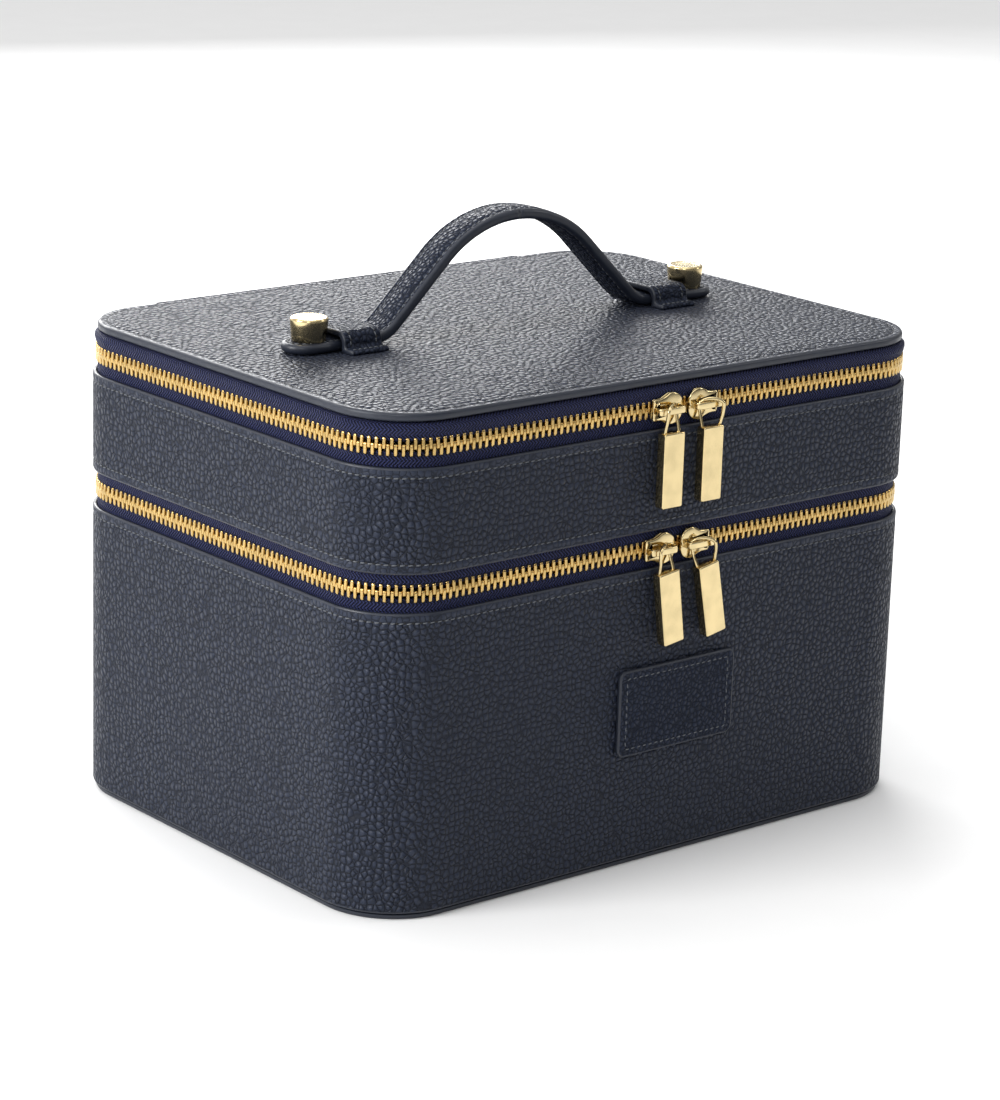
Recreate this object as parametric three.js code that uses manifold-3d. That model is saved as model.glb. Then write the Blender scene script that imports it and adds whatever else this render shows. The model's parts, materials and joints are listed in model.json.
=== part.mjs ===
// A two-tier leather jewellery case: a deep lower tier, a tray tier and a flat lid, each edged with a
// metal zip, and a soft strap handle on the lid. Millimetres, +Z up, the front faces -Y, and the origin is
// under the middle of the base. The zips run round the front and both sides and end behind the back
// corners, where leather strips hinge the tiers at the back wall.
import * as THREE from 'three';
import Module from 'manifold-3d';
import { mergeVertices } from 'three/addons/utils/BufferGeometryUtils.js';

const wasm = await Module();
wasm.setup();

// ---------------------------------------------------------------- driving dimensions
const CASE_W = 250; // outside width, X
const CASE_D = 187; // outside depth, Y
const CORNER_R = 28; // upright corners of the leather walls
const LOWER_TOP = 106; // top edge of the lower tier's leather
const LOWER_ZIP_GAP = 13; // open band between the lower tier and the tray tier
const MIDDLE_H = 35.5; // leather wall of the tray tier
const UPPER_ZIP_GAP = 15; // open band between the tray tier and the lid
const LID_EDGE_H = 2.8; // edge of the lid panel
const LID_INSET = 1.7; // the lid panel stands in from the walls
const LID_CROWN = 0.3; // how far the padded lid rises to its flat middle
const CLEAR = 0.3; // gap between pieces that touch

const LEATHER_T = 1.3; // leather of the walls
const TAPE_T = 0.8; // zip tape, sewn between leather and board
const BOARD_T = 3; // stiff board of the walls and floors
const LINING_T = 1; // fabric lining
const TAPE_SEAM = 8; // tape hidden behind the leather
const BASE_T = 2; // covered base panel
const BASE_INSET = 1;
const FLOOR_PAD_T = 4;
const DIVIDER_T = 4;
const LOWER_DIVIDER_H = 55;

const CHAIN_W = 6.1; // closed chain, across both rows of teeth
const CHAIN_T = 2.4;
const CHAIN_SLOT = 1.4; // left between the two rows for the slider's web
const UPPER_CHAIN_RISE = 6.8; // middle of the upper chain above the tray tier's leather
const ZIP_TAIL = 9; // the zips run this far along the back, past the corners
const STRIP_TO_ZIP = 4; // hinge strips stop this far short of the zips' ends
const STOP_L = 2.5; // metal stop at each end of a zip
const HINGE_STRIP_OVERLAP = 7; // strip sewn to each tier past the gap

const SLIDER_L = 13;
const SLIDER_HEAD = 5.6; // half width at the mouth
const SLIDER_TAIL = 3.7; // half width at the tail
const PLATE_T = 1.2;
const SLIDER_X = 8; // sliders stand this far each side of the place where they meet
const MEET_X = { upper: 2.3, lower: 1.6 }; // that place, right of the case's middle
const CROWN_RISE = 3.1; // axis of the crown above the plate
const CROWN_BAR = 1; // thickness of the crown's bar
const CROWN_BAR_H = 2.2;
const CROWN_L = 11.8;
const CROWN_SHIFT = 0.5; // crown's middle, towards the tail from the slider's
const CROWN_FOOT = 0.9;
const WIRE_R = 0.6; // pull loop
const LOOP_HALF = 3.7; // half the distance between the loop's legs
const LOOP_DROP = 7.2; // crown axis to the top of the pull bar
const PULL = { w: 9, h: 26, t: 4 };
const LOWER_PULL_TILT = { left: 8, right: 11 }; // degrees the lower pulls hang off plumb

const PATCH = { w: 53, h: 31, t: 1.5, r: 2.5, x: 3.5, z: 56 };

const STRAP_W = 15;
const STRAP_T = 4;
const TAB_T = 3.4; // flat ends of the strap
const FINGER_GAP = 37.9; // lid to the underside of the raised handle
const HANDLE_SPAN = 64; // half distance between the places where the strap lies flat
const HANDLE_SLOPE = 44; // steepest slope of the strap, degrees
const CROWN_SHARE = 0.75; // share of the bends' radii that the upper bend takes
const GRIP_ANGLE = 16; // the middle of the grip, degrees of the upper bend each side
const KEEPER_L = 16; // leather loop that holds the strap down, along X
const KEEPER_T = 2;
const KEEPER_FOOT = 4.5;
const STUD = { r0: 6, r1: 6.65, h: 8, bore: 1.6, boreDepth: 5 };
const STUD_CLEAR = 1; // stud to keeper with the handle raised
const TAB_END = 10; // stud's axis to the end of the strap
const SCREW = { head: 3.4, headT: 1, shank: 1.3 };

const MIRROR = { w: 150, d: 100, r: 8, t: 1.8, frame: 6 };
const RING_ROLLS = 6;
const RING_PAD_W = 78;
const RING_PAD_BASE = 5;
const RING_SLOT = 1.6; // slot for rings between two rolls
const RING_PAD_DROP = 3; // the cushion's top under the dividers'

const CORNER_STEPS = 6;
const rad = THREE.MathUtils.degToRad;

// ---------------------------------------------------------------- levels and insets that follow
const MIDDLE_Z = LOWER_TOP + LOWER_ZIP_GAP;
const MIDDLE_TOP = MIDDLE_Z + MIDDLE_H;
const LID_Z = MIDDLE_TOP + UPPER_ZIP_GAP;
const LID_TOP = LID_Z + LID_EDGE_H + LID_CROWN;
const LOWER_CHAIN_Z = LOWER_TOP + LOWER_ZIP_GAP / 2;
const UPPER_CHAIN_Z = MIDDLE_TOP + UPPER_CHAIN_RISE;
const ZIP_END_X = CASE_W / 2 - CORNER_R - ZIP_TAIL; // ends of the zips, from the middle of the back
const HINGE_STRIP_W = 2 * (ZIP_END_X - STRIP_TO_ZIP);
const TAPE_IN = LEATHER_T + CLEAR;
const BOARD_IN = TAPE_IN + TAPE_T + CLEAR;
const BACKING_IN = BOARD_IN - CLEAR; // leather and its foam backing reach in to here
const LINING_IN = BOARD_IN + BOARD_T + CLEAR;
const ROOM_IN = LINING_IN + LINING_T + CLEAR;
const CHAIN_MID = TAPE_IN + TAPE_T / 2; // the chain is centred on its tape
const FRONT = -CASE_D / 2;
const BACK = CASE_D / 2;

// ---------------------------------------------------------------- solids
/** A geometry from corner points and triangles, turned so that its faces point out. */
function solid(points, triangles) {
  const geometry = new THREE.BufferGeometry();
  geometry.setAttribute('position', new THREE.Float32BufferAttribute(points.flat(), 3));
  const [a, b, c] = [new THREE.Vector3(), new THREE.Vector3(), new THREE.Vector3()];
  let volume = 0;
  for (const [i, j, k] of triangles) {
    volume += a.fromArray(points[i]).dot(b.fromArray(points[j]).cross(c.fromArray(points[k])));
  }
  geometry.setIndex(triangles.flatMap(([i, j, k]) => (volume > 0 ? [i, j, k] : [i, k, j])));
  return geometry.toNonIndexed();
}

/** Triangles between neighbouring rows of `size` points; rows and columns close where told to. */
function skin(rows, size, rowsClose, columnsClose) {
  const triangles = [];
  for (let r = 0; r < (rowsClose ? rows : rows - 1); r++) {
    for (let c = 0; c < (columnsClose ? size : size - 1); c++) {
      const [r2, c2] = [(r + 1) % rows, (c + 1) % size];
      const [p, q, s, t] = [r * size + c, r * size + c2, r2 * size + c2, r2 * size + c];
      triangles.push([p, q, s], [p, s, t]);
    }
  }
  return triangles;
}

/** Rows of points that each close on themselves, with flat ends on the first and last row. */
function loft(rows) {
  const size = rows[0].length;
  const triangles = skin(rows.length, size, false, true);
  const last = (rows.length - 1) * size;
  for (let i = 1; i < size - 1; i++) triangles.push([0, i + 1, i], [last, last + i, last + i + 1]);
  return solid(rows.flat(), triangles);
}

/** Outline of a rounded rectangle from above, anticlockwise, each point with its outward normal. */
function roundedOutline(w, d, r) {
  const outline = [];
  const centres = [[1, 1], [-1, 1], [-1, -1], [1, -1]];
  centres.forEach(([sx, sy], quarter) => {
    for (let i = 0; i <= CORNER_STEPS; i++) {
      const angle = rad(90 * (quarter + i / CORNER_STEPS));
      const [nx, ny] = [Math.cos(angle), Math.sin(angle)];
      outline.push({ x: sx * (w / 2 - r) + r * nx, y: sy * (d / 2 - r) + r * ny, nx, ny });
    }
  });
  return outline;
}

const CASE_OUTLINE = roundedOutline(CASE_W, CASE_D, CORNER_R);
const inward = (p, inset, z) => [p.x - p.nx * inset, p.y - p.ny * inset, z];

/** Closed band round the whole outline, from a profile of [inset, z] corners. */
function band(profile, outline = CASE_OUTLINE) {
  const points = outline.flatMap((p) => profile.map(([inset, z]) => inward(p, inset, z)));
  return solid(points, skin(outline.length, profile.length, true, true));
}

/** Plate, tray or lid: [inset, z] rows from one flat face to the other. */
function stack(profile, outline = CASE_OUTLINE) {
  return loft(profile.map(([inset, z]) => outline.map((p) => inward(p, inset, z))));
}

/** Path of a zip: back right end, right side, front, left side, back left end. */
function zipPath() {
  const path = [{ x: ZIP_END_X, y: BACK, nx: 0, ny: 1 }];
  const centres = [[1, 1], [1, -1], [-1, -1], [-1, 1]];
  centres.forEach(([sx, sy], quarter) => {
    for (let i = 0; i <= CORNER_STEPS; i++) {
      const angle = rad(90 - 90 * (quarter + i / CORNER_STEPS));
      const [nx, ny] = [Math.cos(angle), Math.sin(angle)];
      const [x, y] = [sx * (CASE_W / 2 - CORNER_R), sy * (CASE_D / 2 - CORNER_R)];
      path.push({ x: x + CORNER_R * nx, y: y + CORNER_R * ny, nx, ny });
    }
  });
  path.push({ x: -ZIP_END_X, y: BACK, nx: 0, ny: 1 });
  return path;
}

/** Open band along the zip's path, with its two ends closed. */
function zipBand(profile) {
  const path = zipPath();
  const size = profile.length;
  const points = path.flatMap((p) => profile.map(([inset, z]) => inward(p, inset, z)));
  const triangles = skin(path.length, size, false, true);
  const contour = profile.map(([inset, z]) => new THREE.Vector2(inset, z));
  const side = THREE.ShapeUtils.isClockWise(contour) ? 1 : -1;
  const last = (path.length - 1) * size;
  for (const [i, j, k] of THREE.ShapeUtils.triangulateShape(contour, [])) {
    const [a, b] = side > 0 ? [j, k] : [k, j];
    triangles.push([i, a, b], [last + i, last + b, last + a]);
  }
  return solid(points, triangles);
}

/** Extrusion of a shape drawn in X and Z, from y to y + depth. */
function extrudeY(shape, y, depth, curveSegments = 4) {
  const geometry = new THREE.ExtrudeGeometry(shape, { depth, bevelEnabled: false, curveSegments });
  return geometry.rotateX(Math.PI / 2).translate(0, y + depth, 0);
}

/** Extrusion of a shape drawn in Y and Z, from x to x + depth. */
function extrudeX(shape, x, depth, curveSegments = 4) {
  const geometry = new THREE.ExtrudeGeometry(shape, { depth, bevelEnabled: false, curveSegments });
  return geometry.rotateZ(Math.PI / 2).rotateY(Math.PI / 2).translate(x, 0, 0);
}

function boxBetween([x0, y0, z0], [x1, y1, z1]) {
  const box = new THREE.BoxGeometry(x1 - x0, y1 - y0, z1 - z0);
  return box.translate((x0 + x1) / 2, (y0 + y1) / 2, (z0 + z1) / 2);
}

function roundedShape(w, h, r, x = 0, y = 0) {
  const shape = new THREE.Shape();
  shape.moveTo(x - w / 2 + r, y - h / 2);
  shape.lineTo(x + w / 2 - r, y - h / 2);
  shape.absarc(x + w / 2 - r, y - h / 2 + r, r, -Math.PI / 2, 0);
  shape.absarc(x + w / 2 - r, y + h / 2 - r, r, 0, Math.PI / 2);
  shape.absarc(x - w / 2 + r, y + h / 2 - r, r, Math.PI / 2, Math.PI);
  shape.absarc(x - w / 2 + r, y - h / 2 + r, r, Math.PI, 1.5 * Math.PI);
  return shape;
}

/** Turned solid on the Z axis from [radius, z] corners that start and end on the axis. */
function turned(profile, segments = 18) {
  const outline = profile.map(([r, z]) => new THREE.Vector2(r, z));
  return new THREE.LatheGeometry(outline, segments).rotateX(Math.PI / 2);
}

function toManifold(geometry) {
  const bare = geometry.clone();
  bare.deleteAttribute('normal');
  bare.deleteAttribute('uv');
  const merged = mergeVertices(bare, 1e-4);
  const vertProperties = new Float32Array(merged.attributes.position.array);
  const triVerts = new Uint32Array(merged.index.array);
  return new wasm.Manifold(new wasm.Mesh({ numProp: 3, vertProperties, triVerts }));
}

function fromManifold(body) {
  const mesh = body.getMesh();
  const geometry = new THREE.BufferGeometry();
  geometry.setAttribute('position', new THREE.BufferAttribute(mesh.vertProperties, 3));
  geometry.setIndex(new THREE.BufferAttribute(mesh.triVerts, 1));
  return geometry;
}

const joined = (...parts) => fromManifold(parts.map(toManifold).reduce((a, b) => a.add(b)));
const cutBy = (body, ...tools) =>
  fromManifold(tools.map(toManifold).reduce((left, tool) => left.subtract(tool), toManifold(body)));

// ---------------------------------------------------------------- finishes and assembly
const FINISH = {
  leather: { color: 0x2b303c, roughness: 0.55, metalness: 0 },
  tape: { color: 0x1b2143, roughness: 0.85, metalness: 0 },
  board: { color: 0x8a7a66, roughness: 0.9, metalness: 0 },
  lining: { color: 0x8e8a86, roughness: 0.95, metalness: 0 },
  brass: { color: 0xd9b65a, roughness: 0.25, metalness: 1 },
  mirror: { color: 0xe8ecef, roughness: 0.03, metalness: 1 },
};

const jewelleryCase = new THREE.Group();

function add(name, geometry, finish, parent = jewelleryCase) {
  const mesh = new THREE.Mesh(geometry, new THREE.MeshStandardMaterial(FINISH[finish]));
  mesh.name = name;
  parent.add(mesh);
}

// ---------------------------------------------------------------- lower tier
const EDGE_TURN = 0.6; // rounded edge of the leather
const BOARD_DROP = 1.8; // boards stop this far inside the leather's edges

/** Leather wall with its foam backing, thinner where a tape is sewn in at the top or the bottom. */
function leatherWall(z0, z1, tapeBelow) {
  const profile = [[EDGE_TURN, z1], [LEATHER_T, z1], [LEATHER_T, z1 - TAPE_SEAM - CLEAR]];
  profile.push([BACKING_IN, z1 - TAPE_SEAM - CLEAR]);
  if (tapeBelow) {
    profile.push([BACKING_IN, z0 + TAPE_SEAM + CLEAR], [LEATHER_T, z0 + TAPE_SEAM + CLEAR], [LEATHER_T, z0]);
  } else {
    profile.push([BACKING_IN, z0]);
  }
  profile.push([EDGE_TURN, z0], [0, z0 + EDGE_TURN], [0, z1 - EDGE_TURN]);
  return band(profile);
}

/** Open box inside the outline: walls from `inset`, `t` thick, floor at z0. */
const openBox = (inset, t, z0, z1) => stack([[inset, z0], [inset, z1], [inset + t, z1], [inset + t, z0 + t]]);

/** Cushion-edged panel. */
const pad = (inset, z0, z1, turn = 1) =>
  stack([[inset + turn, z0], [inset, z0 + turn], [inset, z1 - turn], [inset + turn, z1]]);

const LOWER_BOARD_Z = BASE_T + CLEAR;
const LOWER_BOARD_TOP = LOWER_TOP - BOARD_DROP;
const LOWER_LINING_Z = LOWER_BOARD_Z + BOARD_T + CLEAR;
const LOWER_PAD_Z = LOWER_LINING_Z + LINING_T + CLEAR;
const LOWER_FLOOR = LOWER_PAD_Z + FLOOR_PAD_T;

add('base_panel', pad(BASE_INSET, 0, BASE_T, 0.4), 'leather');
add('lower_cover', leatherWall(LOWER_BOARD_Z, LOWER_TOP, false), 'leather');
add('lower_board', openBox(BOARD_IN, BOARD_T, LOWER_BOARD_Z, LOWER_BOARD_TOP), 'board');
add('lower_lining', openBox(LINING_IN, LINING_T, LOWER_LINING_Z, LOWER_BOARD_TOP), 'lining');
add('lower_floor_pad', pad(ROOM_IN, LOWER_PAD_Z, LOWER_FLOOR), 'lining');

const ROOM_X = CASE_W / 2 - ROOM_IN; // half the clear width inside the linings
const ROOM_Y = CASE_D / 2 - ROOM_IN;
const LOWER_LONG_Y = CASE_D / 8; // the long divider stands behind the middle
const LOWER_DIVIDER_Z = LOWER_FLOOR + CLEAR;

const HALF_T = DIVIDER_T / 2;
const SIDES = [['left', -1], ['right', 1]];

/** Divider along X, or along Y, on its middle line and between two ends. */
const dividerX = (x0, x1, y, z, height) => boxBetween([x0, y - HALF_T, z], [x1, y + HALF_T, z + height]);
const dividerY = (x, y0, y1, z, height) => boxBetween([x - HALF_T, y0, z], [x + HALF_T, y1, z + height]);

add('lower_divider_long',
  dividerX(-ROOM_X, ROOM_X, LOWER_LONG_Y, LOWER_DIVIDER_Z, LOWER_DIVIDER_H), 'lining');
const LOWER_CROSS_END = LOWER_LONG_Y - HALF_T - CLEAR;
for (const [name, side] of SIDES) {
  const x = side * CASE_W / 6;
  const divider = dividerY(x, -ROOM_Y, LOWER_CROSS_END, LOWER_DIVIDER_Z, LOWER_DIVIDER_H);
  add(`lower_divider_${name}`, divider, 'lining');
}

const patchShape = roundedShape(PATCH.w, PATCH.h, PATCH.r, PATCH.x, PATCH.z);
add('front_patch', extrudeY(patchShape, FRONT - CLEAR - PATCH.t, PATCH.t), 'leather');

// ---------------------------------------------------------------- tray tier
const TRAY_BASE_Z = MIDDLE_Z + CLEAR;
const TRAY_BOARD_Z = TRAY_BASE_Z + LINING_T + CLEAR;
const TRAY_BOARD_TOP = MIDDLE_TOP - BOARD_DROP;
const TRAY_LINING_Z = TRAY_BOARD_Z + BOARD_T + CLEAR;
const TRAY_FLOOR = TRAY_LINING_Z + LINING_T + CLEAR;
const TRAY_DROP = 2; // dividers' tops under the lining's edge
const TRAY_H = TRAY_BOARD_TOP - TRAY_FLOOR - TRAY_DROP;

add('middle_cover', leatherWall(MIDDLE_Z, MIDDLE_TOP, true), 'leather');
add('middle_underside', stack([[BOARD_IN, TRAY_BASE_Z], [BOARD_IN, TRAY_BASE_Z + LINING_T]]), 'lining');
add('middle_board', openBox(BOARD_IN, BOARD_T, TRAY_BOARD_Z, TRAY_BOARD_TOP), 'board');
add('middle_lining', openBox(LINING_IN, LINING_T, TRAY_LINING_Z, TRAY_BOARD_TOP), 'lining');

/** Ring cushion: half-round rolls side by side on a base, with slots for rings between them. */
function ringCushion(x0, x1, y0, y1, z, height) {
  const pitch = (x1 - x0) / RING_ROLLS;
  const r = (pitch - RING_SLOT) / 2;
  const floor = z + RING_PAD_BASE;
  const shape = new THREE.Shape();
  shape.moveTo(x0, z);
  shape.lineTo(x1, z);
  for (let i = RING_ROLLS - 1; i >= 0; i--) {
    const x = x0 + (i + 0.5) * pitch;
    shape.lineTo(i === RING_ROLLS - 1 ? x1 : x + r, floor);
    shape.lineTo(x + r, z + height - r);
    shape.absarc(x, z + height - r, r, 0, Math.PI);
    shape.lineTo(i === 0 ? x0 : x - r, floor);
  }
  return extrudeY(shape, y0, y1 - y0, 4);
}

const RING_X0 = -ROOM_X + CORNER_R / 4; // the cushion's square corners clear the rounded lining
const RING_X1 = RING_X0 + RING_PAD_W;
const RING_Y = ROOM_Y - CORNER_R / 4;
add('ring_cushion',
  ringCushion(RING_X0, RING_X1, -RING_Y, RING_Y, TRAY_FLOOR, TRAY_H - RING_PAD_DROP), 'lining');

const TRAY_CROSS_X = RING_X1 + CLEAR + HALF_T;
const TRAY_LONG_X = TRAY_CROSS_X + HALF_T + CLEAR;
const TRAY_BAY_X = (TRAY_CROSS_X + ROOM_X) / 2;
add('tray_divider_cross', dividerY(TRAY_CROSS_X, -ROOM_Y, ROOM_Y, TRAY_FLOOR, TRAY_H), 'lining');
add('tray_divider_long', dividerX(TRAY_LONG_X, ROOM_X, 0, TRAY_FLOOR, TRAY_H), 'lining');
for (const [name, side] of [['front', -1], ['back', 1]]) {
  const [y0, y1] = side < 0 ? [-ROOM_Y, -HALF_T - CLEAR] : [HALF_T + CLEAR, ROOM_Y];
  add(`tray_divider_${name}`, dividerY(TRAY_BAY_X, y0, y1, TRAY_FLOOR, TRAY_H), 'lining');
}

// ---------------------------------------------------------------- lid
const LID_SKIN = 0.9; // leather over the lid's board
const LID_CROWN_STEPS = [[5, 0.7], [11, 1]]; // distance in from the edge, share of the crown
const LID_BOARD_T = 2;
const LID_BOARD_IN = LID_INSET + LEATHER_T + CLEAR;
const LID_BOARD_TOP = LID_TOP - LID_SKIN - CLEAR;
const LID_BOARD_Z = LID_BOARD_TOP - LID_BOARD_T;
const LID_TAPE_Z = LID_BOARD_Z - CLEAR; // tape runs in under the board
const LID_TAPE_RUN = 7.5;
const LID_LINING_T = 2.5;

/** Leather cap of the lid: underside of its rim, edge, low crown, and back down to the ceiling. */
function lidCover() {
  const edgeTop = LID_Z + LID_EDGE_H;
  const inner = LID_INSET + LEATHER_T;
  const crownRows = LID_CROWN_STEPS.map(([run, share]) => [LID_INSET + run, edgeTop + LID_CROWN * share]);
  return stack([
    [inner, LID_TOP - LID_SKIN], [inner, LID_Z], [LID_INSET + EDGE_TURN, LID_Z],
    [LID_INSET, LID_Z + EDGE_TURN], [LID_INSET, edgeTop - EDGE_TURN], [LID_INSET + EDGE_TURN, edgeTop],
    ...crownRows,
  ]);
}

const LID_LINING_IN = LID_BOARD_IN + LID_TAPE_RUN + CLEAR;
const LID_LINING_Z = LID_TAPE_Z - LID_LINING_T;
const MIRROR_TOP = LID_LINING_Z - CLEAR;
const MIRROR_Z = MIRROR_TOP - MIRROR.t;
const FRAME_LIP = 0.8; // the mirror's frame stands below its glass
const MIRROR_OUTLINE = roundedOutline(MIRROR.w, MIRROR.d, MIRROR.r);

add('lid_cover', lidCover(), 'leather');
add('lid_board', stack([[LID_BOARD_IN, LID_BOARD_Z], [LID_BOARD_IN, LID_BOARD_TOP]]), 'board');
add('lid_lining', pad(LID_LINING_IN, LID_LINING_Z, LID_TAPE_Z, 0.6), 'lining');
add('lid_mirror', stack([[0, MIRROR_Z], [0, MIRROR_TOP]], MIRROR_OUTLINE), 'mirror');
add('mirror_frame', band([
  [-CLEAR, MIRROR_TOP], [-MIRROR.frame, MIRROR_TOP], [-MIRROR.frame, MIRROR_Z],
  [-MIRROR.frame + FRAME_LIP, MIRROR_Z - FRAME_LIP], [-CLEAR, MIRROR_Z - FRAME_LIP],
], MIRROR_OUTLINE), 'leather');

// ---------------------------------------------------------------- zips
const ROW_IN = CHAIN_MID - CHAIN_T / 2;
const ROW_OUT = CHAIN_MID + CHAIN_T / 2;

/** One row of teeth, as the plain strip that it fills; side +1 is the upper row. */
function toothRow(chainZ, side) {
  const [near, far] = [chainZ + side * CHAIN_SLOT / 2, chainZ + side * CHAIN_W / 2];
  return zipBand([[ROW_IN, near], [ROW_OUT, near], [ROW_OUT, far], [ROW_IN, far]]);
}

/** Straight tape from the row of teeth to its hidden edge behind the leather. */
function straightTape(rowZ, hiddenZ) {
  const inner = TAPE_IN + TAPE_T;
  return zipBand([[TAPE_IN, rowZ], [inner, rowZ], [inner, hiddenZ], [TAPE_IN, hiddenZ]]);
}

/** The lid's tape stands up from the teeth, bows out and turns in under the lid board. */
function lidTape(rowZ) {
  const bow = 0.8;
  const top = LID_TAPE_Z;
  const end = LID_BOARD_IN + LID_TAPE_RUN;
  const middle = (rowZ + top) / 2;
  return zipBand([
    [TAPE_IN, rowZ], [TAPE_IN - bow, middle], [TAPE_IN, top - TAPE_T], [TAPE_IN + TAPE_T, top], [end, top],
    [end, top - TAPE_T], [TAPE_IN + 2 * TAPE_T, top - TAPE_T], [TAPE_IN - bow + TAPE_T, middle],
    [TAPE_IN + TAPE_T, rowZ],
  ]);
}

const HALF_CHAIN = CHAIN_W / 2;
add('zip_lower_tape_bottom',
  straightTape(LOWER_CHAIN_Z - HALF_CHAIN - CLEAR, LOWER_TOP - TAPE_SEAM), 'tape');
add('zip_lower_teeth_bottom', toothRow(LOWER_CHAIN_Z, -1), 'brass');
add('zip_lower_teeth_top', toothRow(LOWER_CHAIN_Z, 1), 'brass');
add('zip_lower_tape_top', straightTape(LOWER_CHAIN_Z + HALF_CHAIN + CLEAR, MIDDLE_Z + TAPE_SEAM), 'tape');
add('zip_upper_tape_bottom',
  straightTape(UPPER_CHAIN_Z - HALF_CHAIN - CLEAR, MIDDLE_TOP - TAPE_SEAM), 'tape');
add('zip_upper_teeth_bottom', toothRow(UPPER_CHAIN_Z, -1), 'brass');
add('zip_upper_teeth_top', toothRow(UPPER_CHAIN_Z, 1), 'brass');
add('zip_upper_tape_top', lidTape(UPPER_CHAIN_Z + HALF_CHAIN + CLEAR), 'tape');

// Metal stops past both ends of a zip, on the tier below it.
for (const [level, chainZ] of [['lower', LOWER_CHAIN_Z], ['upper', UPPER_CHAIN_Z]]) {
  for (const [name, side] of SIDES) {
    const [inner, outer] = [ZIP_END_X - CLEAR - STOP_L, ZIP_END_X - CLEAR];
    const [x0, x1] = side > 0 ? [inner, outer] : [-outer, -inner];
    const low = [x0, BACK - ROW_OUT, chainZ - HALF_CHAIN];
    add(`zip_${level}_stop_${name}`, boxBetween(low, [x1, BACK - ROW_IN, chainZ + HALF_CHAIN]), 'brass');
  }
}

/** Leather strip behind the back wall that joins two tiers across the gap between them. */
function hingeStrip(gapZ0, gapZ1) {
  const y = BACK + CLEAR;
  const [low, high] = [gapZ0 - HINGE_STRIP_OVERLAP, gapZ1 + HINGE_STRIP_OVERLAP];
  return boxBetween([-HINGE_STRIP_W / 2, y, low], [HINGE_STRIP_W / 2, y + LEATHER_T, high]);
}
add('hinge_strip_lower', hingeStrip(LOWER_TOP, MIDDLE_Z), 'leather');
const LID_STRIP_TOP = LID_Z + LID_EDGE_H - EDGE_TURN; // no higher than the lid's edge
add('hinge_strip_upper', hingeStrip(MIDDLE_TOP, LID_STRIP_TOP - HINGE_STRIP_OVERLAP), 'leather');

// ---------------------------------------------------------------- sliders and pulls
const PLATE_GAP = 0.4; // plates to teeth
const [NOTCH_W, NOTCH_DEPTH] = [2.8, 1]; // notch in the wide end of a plate, where the web stands
const [WEB_L, WEB_IN] = [3, 3.5]; // the web's length, and its middle in from the wide end
const PLATE_Y = FRONT + ROW_IN - PLATE_GAP; // inner face of the front plate
const CROWN_Y = PLATE_Y - PLATE_T - CROWN_RISE; // axis that the pull swings on

/** Outline of a slider's plate, its mouth towards side * X. */
function plateShape(side) {
  const l = SLIDER_L / 2;
  const shape = new THREE.Shape();
  shape.moveTo(-side * l, -SLIDER_TAIL);
  shape.quadraticCurveTo(-side * 1, -SLIDER_TAIL, side * 0.8, -SLIDER_HEAD);
  shape.quadraticCurveTo(side * l, -SLIDER_HEAD, side * l, -NOTCH_W / 2);
  shape.lineTo(side * (l - NOTCH_DEPTH), 0);
  shape.lineTo(side * l, NOTCH_W / 2);
  shape.quadraticCurveTo(side * l, SLIDER_HEAD, side * 0.8, SLIDER_HEAD);
  shape.quadraticCurveTo(-side * 1, SLIDER_TAIL, -side * l, SLIDER_TAIL);
  return shape;
}

/** Crown: a low bridge along the slider that the pull's loop turns on, drawn in X and height. */
function crown(side) {
  const outer = CROWN_L / 2;
  const sunk = -0.2; // the feet start inside the plate
  const ease = 0.8;
  const top = CROWN_RISE + CROWN_BAR / 2;
  const shape = new THREE.Shape();
  shape.moveTo(-outer, sunk);
  shape.lineTo(-outer + CROWN_FOOT, sunk);
  shape.lineTo(-outer + CROWN_FOOT, top - CROWN_BAR);
  shape.lineTo(outer - CROWN_FOOT, top - CROWN_BAR);
  shape.lineTo(outer - CROWN_FOOT, sunk);
  shape.lineTo(outer, sunk);
  shape.lineTo(outer, top - ease);
  shape.lineTo(outer - ease, top);
  shape.lineTo(-outer + ease, top);
  shape.lineTo(-outer, top - ease);
  const bridge = new THREE.ExtrudeGeometry(shape, { depth: CROWN_BAR_H, bevelEnabled: false });
  bridge.translate(0, 0, -CROWN_BAR_H / 2).scale(1, -1, 1);
  return bridge.translate(-side * CROWN_SHIFT, PLATE_Y - PLATE_T, 0);
}

/** Slider: front and back plates joined by a web between the tooth rows, and the crown. */
function sliderBody(side) {
  const backY = FRONT + ROW_OUT + PLATE_GAP;
  const webT = CHAIN_SLOT - 2 * CLEAR;
  const webFrom = [-WEB_L / 2, PLATE_Y - PLATE_T / 2, -webT / 2];
  const web = boxBetween(webFrom, [WEB_L / 2, backY + PLATE_T / 2, webT / 2]);
  return joined(
    extrudeY(plateShape(side), PLATE_Y - PLATE_T, PLATE_T, 3),
    extrudeY(plateShape(side), backY, PLATE_T, 3),
    web.translate(side * (SLIDER_L / 2 - WEB_IN), 0, 0),
    flipped(crown(side)),
  );
}

/** A mirrored geometry with its triangles turned to face out again. */
function flipped(geometry) {
  const bare = geometry.index ? geometry.toNonIndexed() : geometry;
  const position = bare.attributes.position;
  for (let i = 0; i < position.count; i += 3) {
    const [a, b] = [i + 1, i + 2].map((k) => new THREE.Vector3().fromBufferAttribute(position, k));
    position.setXYZ(i + 1, b.x, b.y, b.z);
    position.setXYZ(i + 2, a.x, a.y, a.z);
  }
  return bare;
}

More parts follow.
